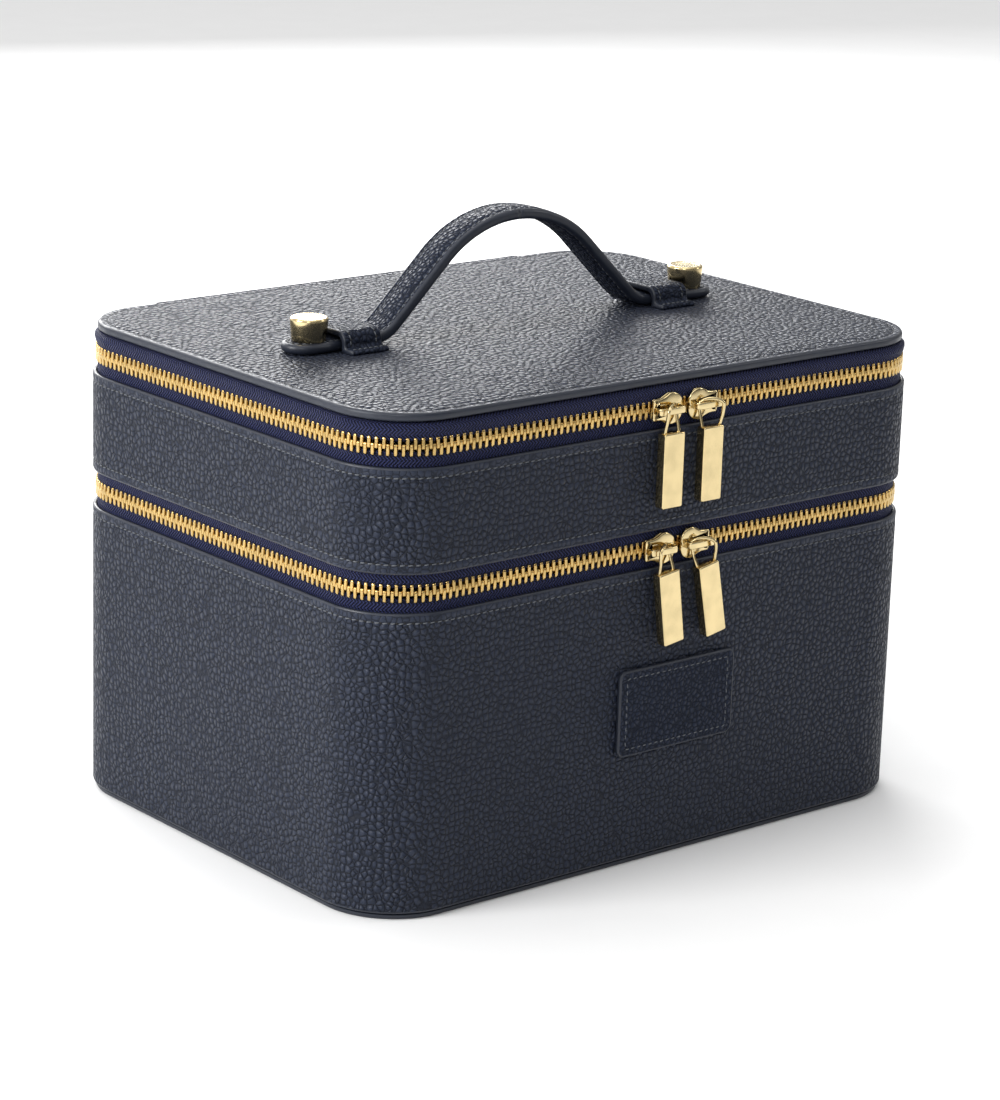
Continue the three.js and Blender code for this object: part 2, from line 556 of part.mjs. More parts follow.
/** Round wire along points, six-sided, closed at both ends. */
function wire(points, r) {
  const curve = new THREE.CatmullRomCurve3(points.map((p) => new THREE.Vector3(...p)));
  const circle = new THREE.Shape().absarc(0, 0, r, 0, 2 * Math.PI);
  return new THREE.ExtrudeGeometry(circle, {
    steps: 2 * points.length, extrudePath: curve, curveSegments: 3, bevelEnabled: false,
  });
}

// The loop goes round the crown's bar between its feet, its tail-side leg in front of the bar and its
// other leg behind it, so that the whole loop can turn. REACH is from the bar's axis to the wire's.
const REACH = Math.hypot(CROWN_BAR / 2, CROWN_BAR_H / 2) + WIRE_R + CLEAR;
// The loop's middle, towards the tail from the slider's.
const LOOP_X = CROWN_SHIFT + CROWN_L / 2 - CROWN_FOOT - CLEAR - WIRE_R - LOOP_HALF;

/** Wire loop; its turn round the bar stays level with the bar when the pull hangs off plumb. */
function pullLoop(side, tilt) {
  const foot = -(LOOP_DROP - 2 * CLEAR);
  const points = [[-side * LOOP_HALF * 0.9, -0.5, foot], [-side * LOOP_HALF, -1.3, foot * 0.6]];
  const level = new THREE.Vector3(0, 1, 0);
  for (let i = 0; i <= 6; i++) {
    const angle = rad(180 - 30 * i);
    const [across, turn] = [side * LOOP_HALF * Math.cos(angle), REACH * Math.cos(angle)];
    const point = new THREE.Vector3(across, turn, REACH * Math.sin(angle));
    points.push(point.applyAxisAngle(level, -tilt).toArray());
  }
  points.push([side * LOOP_HALF, 1.3, foot * 0.6], [side * LOOP_HALF * 0.9, 0.5, foot]);
  return wire(points, WIRE_R);
}

/** Pull bar with bevelled edges, its top at -LOOP_DROP. */
function pullBar() {
  const bevel = 0.4;
  const shape = roundedShape(PULL.w - 2 * bevel, PULL.h - 2 * bevel, 0.6, 0, -LOOP_DROP - PULL.h / 2);
  const geometry = new THREE.ExtrudeGeometry(shape, {
    depth: PULL.t - 2 * bevel, bevelThickness: bevel, bevelSize: bevel, bevelSegments: 1, curveSegments: 2,
  });
  return geometry.rotateX(Math.PI / 2).translate(0, PULL.t / 2 - bevel, 0);
}

for (const [level, chainZ] of [['upper', UPPER_CHAIN_Z], ['lower', LOWER_CHAIN_Z]]) {
  for (const [name, side] of [['left', 1], ['right', -1]]) {
    const slider = new THREE.Group();
    slider.position.set(MEET_X[level] - side * SLIDER_X, 0, chainZ);
    add(`slider_${level}_${name}`, sliderBody(side), 'brass', slider);
    const pull = new THREE.Group();
    pull.position.set(-side * LOOP_X, CROWN_Y, 0);
    const tilt = level === 'lower' ? -rad(LOWER_PULL_TILT[name]) : 0;
    pull.rotation.y = tilt;
    add(`pull_loop_${level}_${name}`, pullLoop(side, tilt), 'brass', pull);
    add(`pull_bar_${level}_${name}`, pullBar(), 'brass', pull);
    slider.add(pull);
    jewelleryCase.add(slider);
  }
}

// ---------------------------------------------------------------- handle
const STRAP_Z = LID_TOP + CLEAR + STRAP_T / 2; // middle of the strap where it lies flat
const SLOPE = rad(HANDLE_SLOPE);
const RISE = FINGER_GAP - CLEAR; // the strap's middle line, from flat to the top of the grip
const BENDS = (HANDLE_SPAN - RISE / Math.tan(SLOPE)) / Math.tan(SLOPE / 2); // sum of the two radii
const UPPER_R = CROWN_SHARE * BENDS;
const LOWER_R = BENDS - UPPER_R;
const APEX_Z = STRAP_Z + RISE;

/** Middle line of the right half of the strap: upper bend, straight, lower bend to the lid. */
function strapLine(fromAngle) {
  const line = [];
  const bend = (cx, cz, r, a0, a1, steps, sign) => {
    for (let i = 0; i <= steps; i++) {
      const a = a0 + ((a1 - a0) * i) / steps;
      line.push({ x: cx + sign * r * Math.sin(a), z: cz + sign * r * Math.cos(a), a });
    }
  };
  bend(0, APEX_Z - UPPER_R, UPPER_R, fromAngle, SLOPE, 5, 1);
  bend(HANDLE_SPAN, STRAP_Z + LOWER_R, LOWER_R, SLOPE, 0, 5, -1);
  return line;
}

/** Flat strap with eased edges along a middle line of { x, z, a }, a being the slope downwards. */
function strap(line) {
  const [w, t, ease] = [STRAP_W / 2, STRAP_T / 2, 1];
  const section = [[-w + ease, -t], [w - ease, -t], [w, -t + ease], [w, t - ease], [w - ease, t]];
  section.push([-w + ease, t], [-w, t - ease], [-w, -t + ease]);
  const across = (p, y, n) => [p.x + n * Math.sin(p.a), y, p.z + n * Math.cos(p.a)];
  return loft(line.map((p) => section.map(([y, n]) => across(p, y, n))));
}

function gripLine() {
  const line = [];
  for (let i = -4; i <= 4; i++) {
    const a = rad((GRIP_ANGLE * i) / 4);
    line.push({ x: UPPER_R * Math.sin(a), z: APEX_Z - UPPER_R + UPPER_R * Math.cos(a), a });
  }
  return line;
}

add('handle_grip', strap(gripLine()), 'leather');
const legLine = strapLine(rad(GRIP_ANGLE) + CLEAR / UPPER_R);
add('handle_leg_right', strap(legLine), 'leather');
const leftLine = legLine.map(({ x, z, a }) => ({ x: -x, z, a: -a }));
add('handle_leg_left', strap(leftLine), 'leather');

const TAB_X = HANDLE_SPAN + CLEAR;
const KEEPER_X = HANDLE_SPAN - 1.5; // inner end of the keeper
const STUD_X = KEEPER_X + KEEPER_L + STUD_CLEAR + STUD.r1;
const TAB_TIP = STUD_X + TAB_END;
const TAB_Z = LID_TOP + CLEAR;
const SCREW_Z = TAB_Z + 0.4;

/** Flat end of the strap: round tip, and a stepped hole for the stud's screw. */
function handleTab(side) {
  const r = STRAP_W / 2;
  const shape = new THREE.Shape();
  shape.moveTo(side * TAB_X, -side * r);
  shape.lineTo(side * (TAB_TIP - r), -side * r);
  const [start, end] = side > 0 ? [-Math.PI / 2, Math.PI / 2] : [Math.PI / 2, 1.5 * Math.PI];
  shape.absarc(side * (TAB_TIP - r), 0, r, start, end);
  shape.lineTo(side * TAB_X, side * r);
  const tab = new THREE.ExtrudeGeometry(shape, { depth: TAB_T, bevelEnabled: false, curveSegments: 8 });
  const hole = new THREE.CylinderGeometry(STUD.bore, STUD.bore, 3 * TAB_T, 12).rotateX(Math.PI / 2);
  const sinkR = SCREW.head + 2 * CLEAR;
  const sinkT = SCREW_Z - TAB_Z + SCREW.headT + CLEAR;
  const sink = new THREE.CylinderGeometry(sinkR, sinkR, 2 * sinkT, 14).rotateX(Math.PI / 2);
  const x = side * STUD_X;
  return cutBy(tab.translate(0, 0, TAB_Z), hole.translate(x, 0, TAB_Z), sink.translate(x, 0, TAB_Z));
}

function stud() {
  const { r0, r1, h, boreDepth, bore } = STUD;
  return turned([[0, boreDepth], [bore, boreDepth], [bore, 0], [r0, 0], [r1, h - 1.1], [r1 - 0.25, h - 0.4],
    [r1 - 0.9, h], [0, h]]);
}

function studScrew() {
  const reach = TAB_Z + TAB_T + STUD.boreDepth - 1 - SCREW_Z;
  return turned([[0, 0], [SCREW.head, 0], [SCREW.head, SCREW.headT], [SCREW.shank, SCREW.headT],
    [SCREW.shank, reach], [0, reach]], 12);
}

/** Leather loop over the strap, with a foot sewn to the lid on each side. */
function keeper() {
  const inside = { y: STRAP_W / 2 + 0.7, z: CLEAR + STRAP_T + 1 };
  const outside = { y: inside.y + KEEPER_T, z: inside.z + KEEPER_T };
  const [footZ, footTop, ri, ro] = [CLEAR, CLEAR + 1.4, 2.6, 4.2];
  const toe = outside.y + KEEPER_FOOT;
  const shape = new THREE.Shape();
  shape.moveTo(toe, footZ);
  shape.lineTo(toe, footTop - 0.5);
  shape.lineTo(toe - 0.5, footTop);
  shape.lineTo(outside.y, footTop);
  shape.lineTo(outside.y, outside.z - ro);
  shape.absarc(outside.y - ro, outside.z - ro, ro, 0, Math.PI / 2);
  shape.absarc(-outside.y + ro, outside.z - ro, ro, Math.PI / 2, Math.PI);
  shape.lineTo(-outside.y, footTop);
  shape.lineTo(-toe + 0.5, footTop);
  shape.lineTo(-toe, footTop - 0.5);
  shape.lineTo(-toe, footZ);
  shape.lineTo(-inside.y, footZ);
  shape.lineTo(-inside.y, inside.z - ri);
  shape.absarc(-inside.y + ri, inside.z - ri, ri, Math.PI, Math.PI / 2, true);
  shape.absarc(inside.y - ri, inside.z - ri, ri, Math.PI / 2, 0, true);
  shape.lineTo(inside.y, footZ);
  return extrudeX(shape, 0, KEEPER_L).translate(0, 0, LID_TOP);
}

for (const [name, side] of [['left', -1], ['right', 1]]) {
  const keeperX = side > 0 ? KEEPER_X : -KEEPER_X - KEEPER_L;
  add(`handle_keeper_${name}`, keeper().translate(keeperX, 0, 0), 'leather');
  add(`handle_tab_${name}`, handleTab(side), 'leather');
  add(`stud_${name}`, stud().translate(side * STUD_X, 0, TAB_Z + TAB_T + CLEAR), 'brass');
  add(`stud_screw_${name}`, studScrew().translate(side * STUD_X, 0, SCREW_Z), 'brass');
}

export default jewelleryCase;
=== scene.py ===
"""Looks of the two-tier leather jewellery case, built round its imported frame.

Lengths in the builders are millimetres and turn into metres in mesh_from(). Places come from the frame's
boxes; the constants below are the sizes that a box can't give.
"""

import json
import math

import bmesh
import bpy
import numpy as np
from mathutils import Matrix, Vector


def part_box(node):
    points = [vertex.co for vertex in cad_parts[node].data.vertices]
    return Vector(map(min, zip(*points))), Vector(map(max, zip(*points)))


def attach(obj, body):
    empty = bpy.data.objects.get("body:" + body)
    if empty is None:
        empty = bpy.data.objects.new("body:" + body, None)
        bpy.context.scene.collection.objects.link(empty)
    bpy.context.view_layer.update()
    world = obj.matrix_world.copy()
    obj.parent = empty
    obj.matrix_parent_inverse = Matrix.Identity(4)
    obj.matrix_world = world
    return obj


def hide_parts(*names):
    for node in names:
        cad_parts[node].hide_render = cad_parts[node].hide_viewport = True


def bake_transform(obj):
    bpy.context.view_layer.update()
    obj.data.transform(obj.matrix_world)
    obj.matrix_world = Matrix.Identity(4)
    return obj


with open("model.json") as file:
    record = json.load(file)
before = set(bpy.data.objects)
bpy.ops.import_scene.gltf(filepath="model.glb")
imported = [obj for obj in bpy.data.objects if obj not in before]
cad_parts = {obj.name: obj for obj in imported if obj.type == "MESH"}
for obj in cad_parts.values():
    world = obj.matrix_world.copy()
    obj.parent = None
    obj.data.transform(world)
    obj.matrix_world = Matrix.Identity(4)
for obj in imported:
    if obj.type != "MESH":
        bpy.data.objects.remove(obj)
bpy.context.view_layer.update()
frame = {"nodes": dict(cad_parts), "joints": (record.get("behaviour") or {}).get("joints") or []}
MM = 0.001


def span(node):
    """Lowest and highest corner of a CAD node, in millimetres."""
    low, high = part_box(node)
    return np.array(low) / MM, np.array(high) / MM


# ------------------------------------------------------------------ sizes
CORNER_R = 28.0
CORNER_STEPS = 20
STRAIGHT_STEP = 5.0
STITCH_PITCH = 2.65
STITCH_INSET = 3.3
STITCH_SHARE = 0.66  # thread that shows in each pitch; the rest is a needle hole
STITCH_SLANT = math.radians(7)
THREAD_R = 0.24
HOLE_R = 0.4
TOOTH_PITCH = 2.65
STRAP_HALF_W, STRAP_HALF_T = 7.5, 2.0

HALF_W, HALF_D = span("lower_cover")[1][:2]  # outside of the leather walls
FRONT = -HALF_D


# ------------------------------------------------------------------ camera, floor and light
AZIMUTH, ELEVATION, ROLL = math.radians(-39.93), math.radians(15.98), math.radians(1.83)
DISTANCE = 1.29205
AIM_RIGHT, AIM_HEIGHT = 0.00118, 0.0885
LENS, SENSOR = 116.97, 36.0


def make_camera():
    back = Vector((math.sin(AZIMUTH) * math.cos(ELEVATION), -math.cos(AZIMUTH) * math.cos(ELEVATION),
                   math.sin(ELEVATION)))
    right = Vector((math.cos(AZIMUTH), math.sin(AZIMUTH), 0.0))
    up = back.cross(right)
    rolled_right = right * math.cos(ROLL) + up * math.sin(ROLL)
    rolled_up = up * math.cos(ROLL) - right * math.sin(ROLL)
    data = bpy.data.cameras.new("camera")
    data.lens, data.sensor_width = LENS, SENSOR
    camera = bpy.data.objects.new("camera", data)
    place = right * AIM_RIGHT + Vector((0, 0, AIM_HEIGHT)) + back * DISTANCE
    matrix = Matrix((rolled_right, rolled_up, back)).transposed().to_4x4()
    camera.matrix_world = Matrix.Translation(place) @ matrix
    bpy.context.scene.collection.objects.link(camera)
    bpy.context.scene.camera = camera


def make_light(name, place, size, power, color=(1, 1, 1), aim=(0, 0, 0.1)):
    data = bpy.data.lights.new(name, "AREA")
    data.shape = "RECTANGLE"
    data.size, data.size_y = size
    data.energy = power
    data.color = color
    light = bpy.data.objects.new(name, data)
    light.location = place
    light.rotation_mode = "QUATERNION"
    light.rotation_quaternion = (Vector(aim) - Vector(place)).to_track_quat("-Z", "Y")
    bpy.context.scene.collection.objects.link(light)


BRIGHT_SIDE = (-0.45, 0.62, 0.64)  # where the room is brightest, seen from the case
DIM, BRIGHT = 0.10, 0.9


def make_world():
    """A pale room: bright behind the case and to its left, dimmer in front and to its right."""
    world = bpy.data.worlds.new("studio")
    world.use_nodes = True
    tree = world.node_tree
    background = tree.nodes["Background"]
    direction = tree.nodes.new("ShaderNodeTexCoord").outputs["Generated"]
    toward_back = tree.nodes.new("ShaderNodeVectorMath")
    toward_back.operation = "DOT_PRODUCT"
    tree.links.new(direction, toward_back.inputs[0])
    toward_back.inputs[1].default_value = BRIGHT_SIDE
    ramp = tree.nodes.new("ShaderNodeMapRange")
    ramp.interpolation_type = "SMOOTHSTEP"
    for key, value in (("From Min", -0.75), ("From Max", 0.7), ("To Min", DIM), ("To Max", BRIGHT)):
        ramp.inputs[key].default_value = value
    tree.links.new(toward_back.outputs["Value"], ramp.inputs["Value"])
    tree.links.new(ramp.outputs[0], background.inputs["Strength"])
    background.inputs["Color"].default_value = (1.0, 1.0, 1.0, 1)
    bpy.context.scene.world = world


def make_studio():
    make_world()
    bpy.context.scene.view_settings.view_transform = "Standard"
    make_light("key_left", (-1.6, 0.25, 0.9), (0.7, 0.9), 24)
    make_light("corner_left", (-1.0, -1.0, 0.9), (0.4, 0.6), 3)
    make_light("rear_top", (0.5, 1.5, 0.75), (1.5, 0.45), 28)
    make_light("overhead", (0.0, 0.1, 2.2), (1.4, 1.4), 8)
    make_light("front_right", (1.5, -0.9, 1.0), (0.3, 0.5), 4)


# ------------------------------------------------------------------ node materials
class Shader:
    """A node material with short calls for adding nodes and links."""

    def __init__(self, name):
        self.material = bpy.data.materials.new(name)
        self.material.use_nodes = True
        self.tree = self.material.node_tree
        self.bsdf = self.tree.nodes["Principled BSDF"]

    def node(self, kind, settings=None, **inputs):
        made = self.tree.nodes.new(kind)
        for key, value in (settings or {}).items():
            setattr(made, key, value)
        for key, value in inputs.items():
            self.feed(made.inputs[key.replace("_", " ")], value)
        return made

    def feed(self, socket, value):
        if isinstance(value, bpy.types.NodeSocket):
            self.tree.links.new(value, socket)
        else:
            socket.default_value = value

    def math(self, operation, *values, clamp=False):
        made = self.node("ShaderNodeMath", {"operation": operation, "use_clamp": clamp})
        for socket, value in zip(made.inputs, values):
            self.feed(socket, value)
        return made.outputs[0]

    def spread(self, value, low, high, to_low=0.0, to_high=1.0):
        made = self.node("ShaderNodeMapRange", {"interpolation_type": "SMOOTHSTEP"}, Value=value)
        for key, number in zip(("From Min", "From Max", "To Min", "To Max"), (low, high, to_low, to_high)):
            made.inputs[key].default_value = number
        return made.outputs[0]

    def mix(self, share, a, b):
        made = self.node("ShaderNodeMix", {"data_type": "RGBA"})
        self.feed(made.inputs[0], share)
        self.feed(made.inputs[6], a)
        self.feed(made.inputs[7], b)
        return made.outputs[2]

    def place(self):
        return self.node("ShaderNodeTexCoord").outputs["Object"]

    def noise(self, scale, detail=2.0, vector=None, roughness=0.5):
        made = self.node("ShaderNodeTexNoise", Scale=scale, Detail=detail, Roughness=roughness,
                         Vector=vector or self.place())
        return made.outputs["Fac"]

    def set(self, **inputs):
        for key, value in inputs.items():
            self.feed(self.bsdf.inputs[key.replace("_", " ")], value)

    def bump(self, height, strength, distance):
        made = self.node("ShaderNodeBump", Height=height, Strength=strength, Distance=distance)
        self.feed(self.bsdf.inputs["Normal"], made.outputs[0])


def shade(color, factor):
    return tuple(c * factor for c in color[:3]) + (1.0,)


NAVY = (0.0165, 0.022, 0.040, 1)
CREASE_WIDTH = 0.16  # share of a grain
UNEVEN = 0.8  # how far the grains stray from an even grid
WANDER = 0.0016  # metres that the pattern drifts


def leather_material(name, pebble=470.0, depth=0.0012, gloss=0.26):
    """Pebble-grained leather: domed grains of uneven size between thin creases, which are painted dark as
    painted shade, glossier on their tops.

    pebble is grains to the metre, depth the height of the grain in metres, and gloss the specular level.
    """
    s = Shader(name)
    wander = s.node("ShaderNodeTexNoise", Scale=160.0, Detail=1.0, Vector=s.place())
    shift = s.node("ShaderNodeVectorMath", {"operation": "SCALE"}, Vector=wander.outputs["Color"],
                   Scale=WANDER)
    at = s.node("ShaderNodeVectorMath", {"operation": "ADD"})
    s.feed(at.inputs[0], s.place())
    s.feed(at.inputs[1], shift.outputs[0])
    at = at.outputs[0]
    edge = s.node("ShaderNodeTexVoronoi", {"feature": "DISTANCE_TO_EDGE"}, Scale=pebble,
                  Randomness=UNEVEN, Vector=at)
    crease = s.spread(edge.outputs["Distance"], 0.0, CREASE_WIDTH)
    dome = s.node("ShaderNodeTexVoronoi", {"feature": "F1"}, Scale=pebble, Randomness=UNEVEN, Vector=at)
    round_top = s.spread(dome.outputs["Distance"], 0.0, 0.85, 1.0, 0.0)
    fine = s.noise(3800.0, 3.0)
    height = s.math("ADD", s.math("MULTIPLY", crease, 0.3), s.math("MULTIPLY", round_top, 0.7))
    height = s.math("ADD", height, s.math("MULTIPLY", fine, 0.04))
    broad = s.noise(22.0, 2.0)
    s.bump(s.math("ADD", height, s.math("MULTIPLY", broad, 0.6)), 1.0, depth)
    # painted shade: the creases are painted far darker than the grain tops
    tone = s.mix(crease, shade(NAVY, 0.42), shade(NAVY, 1.12))
    patch = s.spread(broad, 0.35, 0.7)
    s.set(Base_Color=s.mix(s.math("MULTIPLY", patch, 0.3), tone, shade(NAVY, 0.8)))
    s.set(Roughness=s.spread(height, 0.2, 1.0, 0.66, 0.36))
    s.set(Specular_IOR_Level=gloss)
    return s.material


def edge_material():
    """Painted, burnished leather edge: smooth with a faint waviness."""
    s = Shader("edge_paint")
    wave = s.noise(260.0, 3.0)
    s.bump(wave, 0.25, 0.0002)
    s.set(Base_Color=s.mix(wave, (0.010, 0.013, 0.022, 1), (0.018, 0.023, 0.038, 1)))
    s.set(Roughness=s.spread(wave, 0.3, 0.7, 0.34, 0.5))
    return s.material


def suede_material(name, color):
    """Microfibre lining with a soft nap and broad brushed patches."""
    s = Shader(name)
    nap = s.noise(1900.0, 4.0, roughness=0.7)
    brushed = s.noise(38.0, 3.0)
    s.bump(s.math("ADD", nap, s.math("MULTIPLY", brushed, 0.8)), 0.5, 0.0003)
    tone = s.mix(s.spread(brushed, 0.3, 0.7), shade(color, 0.86), shade(color, 1.1))
    s.set(Base_Color=s.mix(s.math("MULTIPLY", nap, 0.4), tone, shade(color, 0.6)))
    s.set(Roughness=s.spread(nap, 0.2, 0.8, 0.98, 0.82))
    s.bsdf.inputs["Sheen Weight"].default_value = 0.35
    s.bsdf.inputs["Sheen Roughness"].default_value = 0.4
    return s.material


RIB, TWILL, WARP = 1.8, 1.3, 0.5  # millimetres: half a herringbone, its ridges and its threads


def tape_material():
    """Herringbone-woven tape: UV is millimetres along and across the tape. The weave's hollows are painted
    near black as painted shade between the threads.
    """
    s = Shader("zip_tape")
    uv = s.node("ShaderNodeUVMap").outputs[0]
    axes = s.node("ShaderNodeSeparateXYZ", Vector=uv)
    along, across = axes.outputs[0], axes.outputs[1]
    fold = s.math("PINGPONG", across, RIB)
    twill = s.math("SINE", s.math("MULTIPLY", s.math("ADD", along, fold), 2 * math.pi / TWILL))
    warp = s.math("SINE", s.math("MULTIPLY", across, 2 * math.pi / WARP))
    weave = s.math("ADD", s.math("MULTIPLY", twill, 0.7), s.math("MULTIPLY", warp, 0.3))
    fibre = s.noise(4200.0, 2.0)
    height = s.math("ADD", weave, s.math("MULTIPLY", fibre, 0.5))
    s.bump(height, 1.0, 0.0004)
    face = s.spread(weave, -0.9, 0.9)
    # painted shade: near black in the weave's hollows, the tape's blue on its ridges
    s.set(Base_Color=s.mix(face, (0.0003, 0.0004, 0.0016, 1), (0.030, 0.038, 0.125, 1)))
    s.set(Roughness=s.spread(face, 0.0, 1.0, 0.8, 0.5))
    s.set(Specular_IOR_Level=0.2)
    return s.material


def metal_material(name, color, roughness, wear=0.12, waviness=0.02):
    """Plated metal: gloss broken by faint smears, fine pits and a slight change of colour."""
    s = Shader(name)
    smear = s.noise(170.0, 3.0)
    pits = s.noise(2600.0, 2.0)
    s.set(Metallic=1.0)
    s.set(Base_Color=s.mix(s.spread(smear, 0.3, 0.75), color, shade(color, 0.86)))
    s.set(Roughness=s.spread(smear, 0.3, 0.8, roughness, roughness + wear))
    s.bump(s.math("ADD", smear, s.math("MULTIPLY", pits, 0.1)), waviness, 0.0001)
    return s.material


def thread_material(name, color):
    """Waxed thread with a twist."""
    s = Shader(name)
    twist = s.node("ShaderNodeTexWave", {"bands_direction": "DIAGONAL"}, Scale=900.0, Distortion=1.0,
                   Vector=s.place())
    s.bump(twist.outputs["Fac"], 0.5, 0.0001)
    s.set(Base_Color=s.mix(twist.outputs["Fac"], shade(color, 0.7), color), Roughness=0.7)
    return s.material


def board_material():
    """Raw grey-brown fibreboard."""
    s = Shader("fibreboard")
    fibres = s.node("ShaderNodeTexNoise", Scale=900.0, Detail=5.0, Roughness=0.7, Vector=s.place())
    s.bump(fibres.outputs["Fac"], 0.5, 0.0003)
    s.set(Base_Color=s.mix(fibres.outputs["Fac"], (0.16, 0.12, 0.08, 1), (0.40, 0.33, 0.24, 1)))
    s.set(Roughness=s.spread(fibres.outputs["Fac"], 0.2, 0.8, 0.95, 0.8))
    return s.material


def mirror_material():
    s = Shader("mirror_glass")
    haze = s.noise(60.0, 3.0)
    s.set(Metallic=1.0, Base_Color=(0.86, 0.88, 0.89, 1))
    s.set(Roughness=s.spread(haze, 0.4, 0.8, 0.015, 0.05))
    return s.material


def floor_material():
    s = Shader("floor")
    grain = s.noise(30.0, 2.0)
    s.set(Base_Color=s.mix(grain, (0.88, 0.88, 0.88, 1), (0.91, 0.91, 0.91, 1)), Roughness=0.8)
    s.set(Specular_IOR_Level=0.1)
    return s.material


LEATHER = leather_material("leather_wall")
LEATHER_STRAP = leather_material("leather_strap", pebble=560.0, depth=0.0008, gloss=0.12)
LEATHER_HEM = leather_material("leather_hem", depth=0.00035)
EDGE = edge_material()
LINING = suede_material("lining", (0.40, 0.365, 0.335, 1))
TAPE = tape_material()
GOLD = metal_material("gold_polished", (0.76, 0.61, 0.33, 1), 0.12)
TOOTH_GOLD = metal_material("gold_teeth", (0.62, 0.43, 0.165, 1), 0.2, 0.15, 0.1)
THREAD = thread_material("thread_grey", (0.13, 0.14, 0.155, 1))
THREAD_DARK = thread_material("thread_dark", (0.035, 0.038, 0.05, 1))
# painted shade: near black, for the shade inside each needle hole
NEEDLE_HOLE_SHADE = thread_material("needle_hole_shade", (0.002, 0.002, 0.003, 1))
THREAD_LINING = thread_material("thread_lining", (0.33, 0.30, 0.27, 1))
BOARD = board_material()
MIRROR = mirror_material()


# ------------------------------------------------------------------ meshes
def mesh_from(name, points, faces, materials, indices=None, uvs=None, sharp=None):
    """A linked smooth-shaded object from points in millimetres; uvs is one pair for each point.

    indices is the material of each face, and sharp the angle past which an edge stays crisp.
    """
    mesh = bpy.data.meshes.new(name)
    mesh.from_pydata((np.asarray(points, float) * MM).tolist(), [], [tuple(int(i) for i in f) for f in faces])
    for material in materials:
        mesh.materials.append(material)
    if indices is not None:
        mesh.polygons.foreach_set("material_index", np.asarray(indices, np.int32))
    if uvs is not None:
        layer = mesh.uv_layers.new(name="UVMap")
        loops = np.zeros(len(mesh.loops), np.int32)
        mesh.loops.foreach_get("vertex_index", loops)
        layer.data.foreach_set("uv", np.asarray(uvs, float)[loops].ravel())
    mesh.validate()
    mesh.update()
    mesh.shade_smooth()
    if sharp is not None:
        mesh.set_sharp_from_angle(angle=math.radians(sharp))
    made = bpy.data.objects.new(name, mesh)
    bpy.context.scene.collection.objects.link(made)
    return made


def skin(rings, size):
    """Faces between equal closed rings, ring by ring."""
    return [(r * size + c, r * size + (c + 1) % size, (r + 1) * size + (c + 1) % size, (r + 1) * size + c)
            for r in range(rings - 1) for c in range(size)]


def caps(rings, size):
    """Faces that close the first and the last of the rings."""
    return [tuple(reversed(range(size))), tuple((rings - 1) * size + i for i in range(size))]


class Path:
    """Points on a line seen from above, each with its outward normal and its distance along the line."""

    def __init__(self, points, normals, closed):
        self.points, self.normals = np.array(points, float), np.array(normals, float)
        self.closed = closed
        steps = np.linalg.norm(np.diff(self.points, axis=0), axis=1)
        self.s = np.concatenate([[0], np.cumsum(steps)])
        self.length = self.s[-1] + (np.linalg.norm(self.points[0] - self.points[-1]) if closed else 0)

    def offset(self, inset):
        return self.points - self.normals * inset

    def at(self, s, inset):
        """Point and normal at a distance along the line of this inset, by this path's own distance."""
        stations, points, normals = self.s, self.points, self.normals
        if self.closed:
            stations = np.append(stations, self.length)
            points, normals = np.vstack([points, points[:1]]), np.vstack([normals, normals[:1]])
        normal = np.array([np.interp(s, stations, normals[:, k]) for k in (0, 1)]).T
        normal /= np.linalg.norm(normal, axis=1)[:, None]
        point = np.array([np.interp(s, stations, points[:, k]) for k in (0, 1)]).T
        return point - normal * inset, normal


def line_between(a, b):
    """Points from a to b, without b, about a straight step apart."""
    count = max(1, round(np.linalg.norm(np.subtract(b, a)) / STRAIGHT_STEP))
    return [np.add(a, np.subtract(b, a) * i / count) for i in range(count)]


def rounded_path(half_w, half_d, r, steps=CORNER_STEPS):
    """Closed rounded rectangle, anticlockwise from the middle of the back."""
    points, normals = [], []
    corners = [(-1, 1, 90), (-1, -1, 180), (1, -1, 270), (1, 1, 0)]
    last = np.array([0.0, half_d])
    for sx, sy, start in corners:
        centre = np.array([sx * (half_w - r), sy * (half_d - r)])
        arc = [math.radians(start + 90 * i / steps) for i in range(steps + 1)]
        first = centre + r * np.array([math.cos(arc[0]), math.sin(arc[0])])
        for p in line_between(last, first):
            points.append(p)
            normals.append((math.cos(arc[0]), math.sin(arc[0])))
        for a in arc:
            normals.append((math.cos(a), math.sin(a)))
            points.append(centre + r * np.array(normals[-1]))
        last = points[-1]
        if (sx, sy) != (1, 1):
            points.pop()
            normals.pop()
    for p in line_between(last, (0.0, half_d))[1:]:
        points.append(p)
        normals.append((0.0, 1.0))
    return Path(points, normals, True)


CASE = rounded_path(HALF_W, HALF_D, CORNER_R)


def zip_path(back_x):
    """From the zip's left end at the back, round the front, to its right end."""
    keep = ~((np.abs(CASE.points[:, 0]) < back_x) & (CASE.points[:, 1] > 0))
    points = [(-back_x, HALF_D), *CASE.points[keep], (back_x, HALF_D)]
    normals = [(0, 1), *CASE.normals[keep], (0, 1)]
    return Path(points, normals, False)


def zip_end():
    """Distance of the zips' ends from the middle of the back: just past the stops."""
    return span("zip_lower_stop_right")[1][0] + 0.3


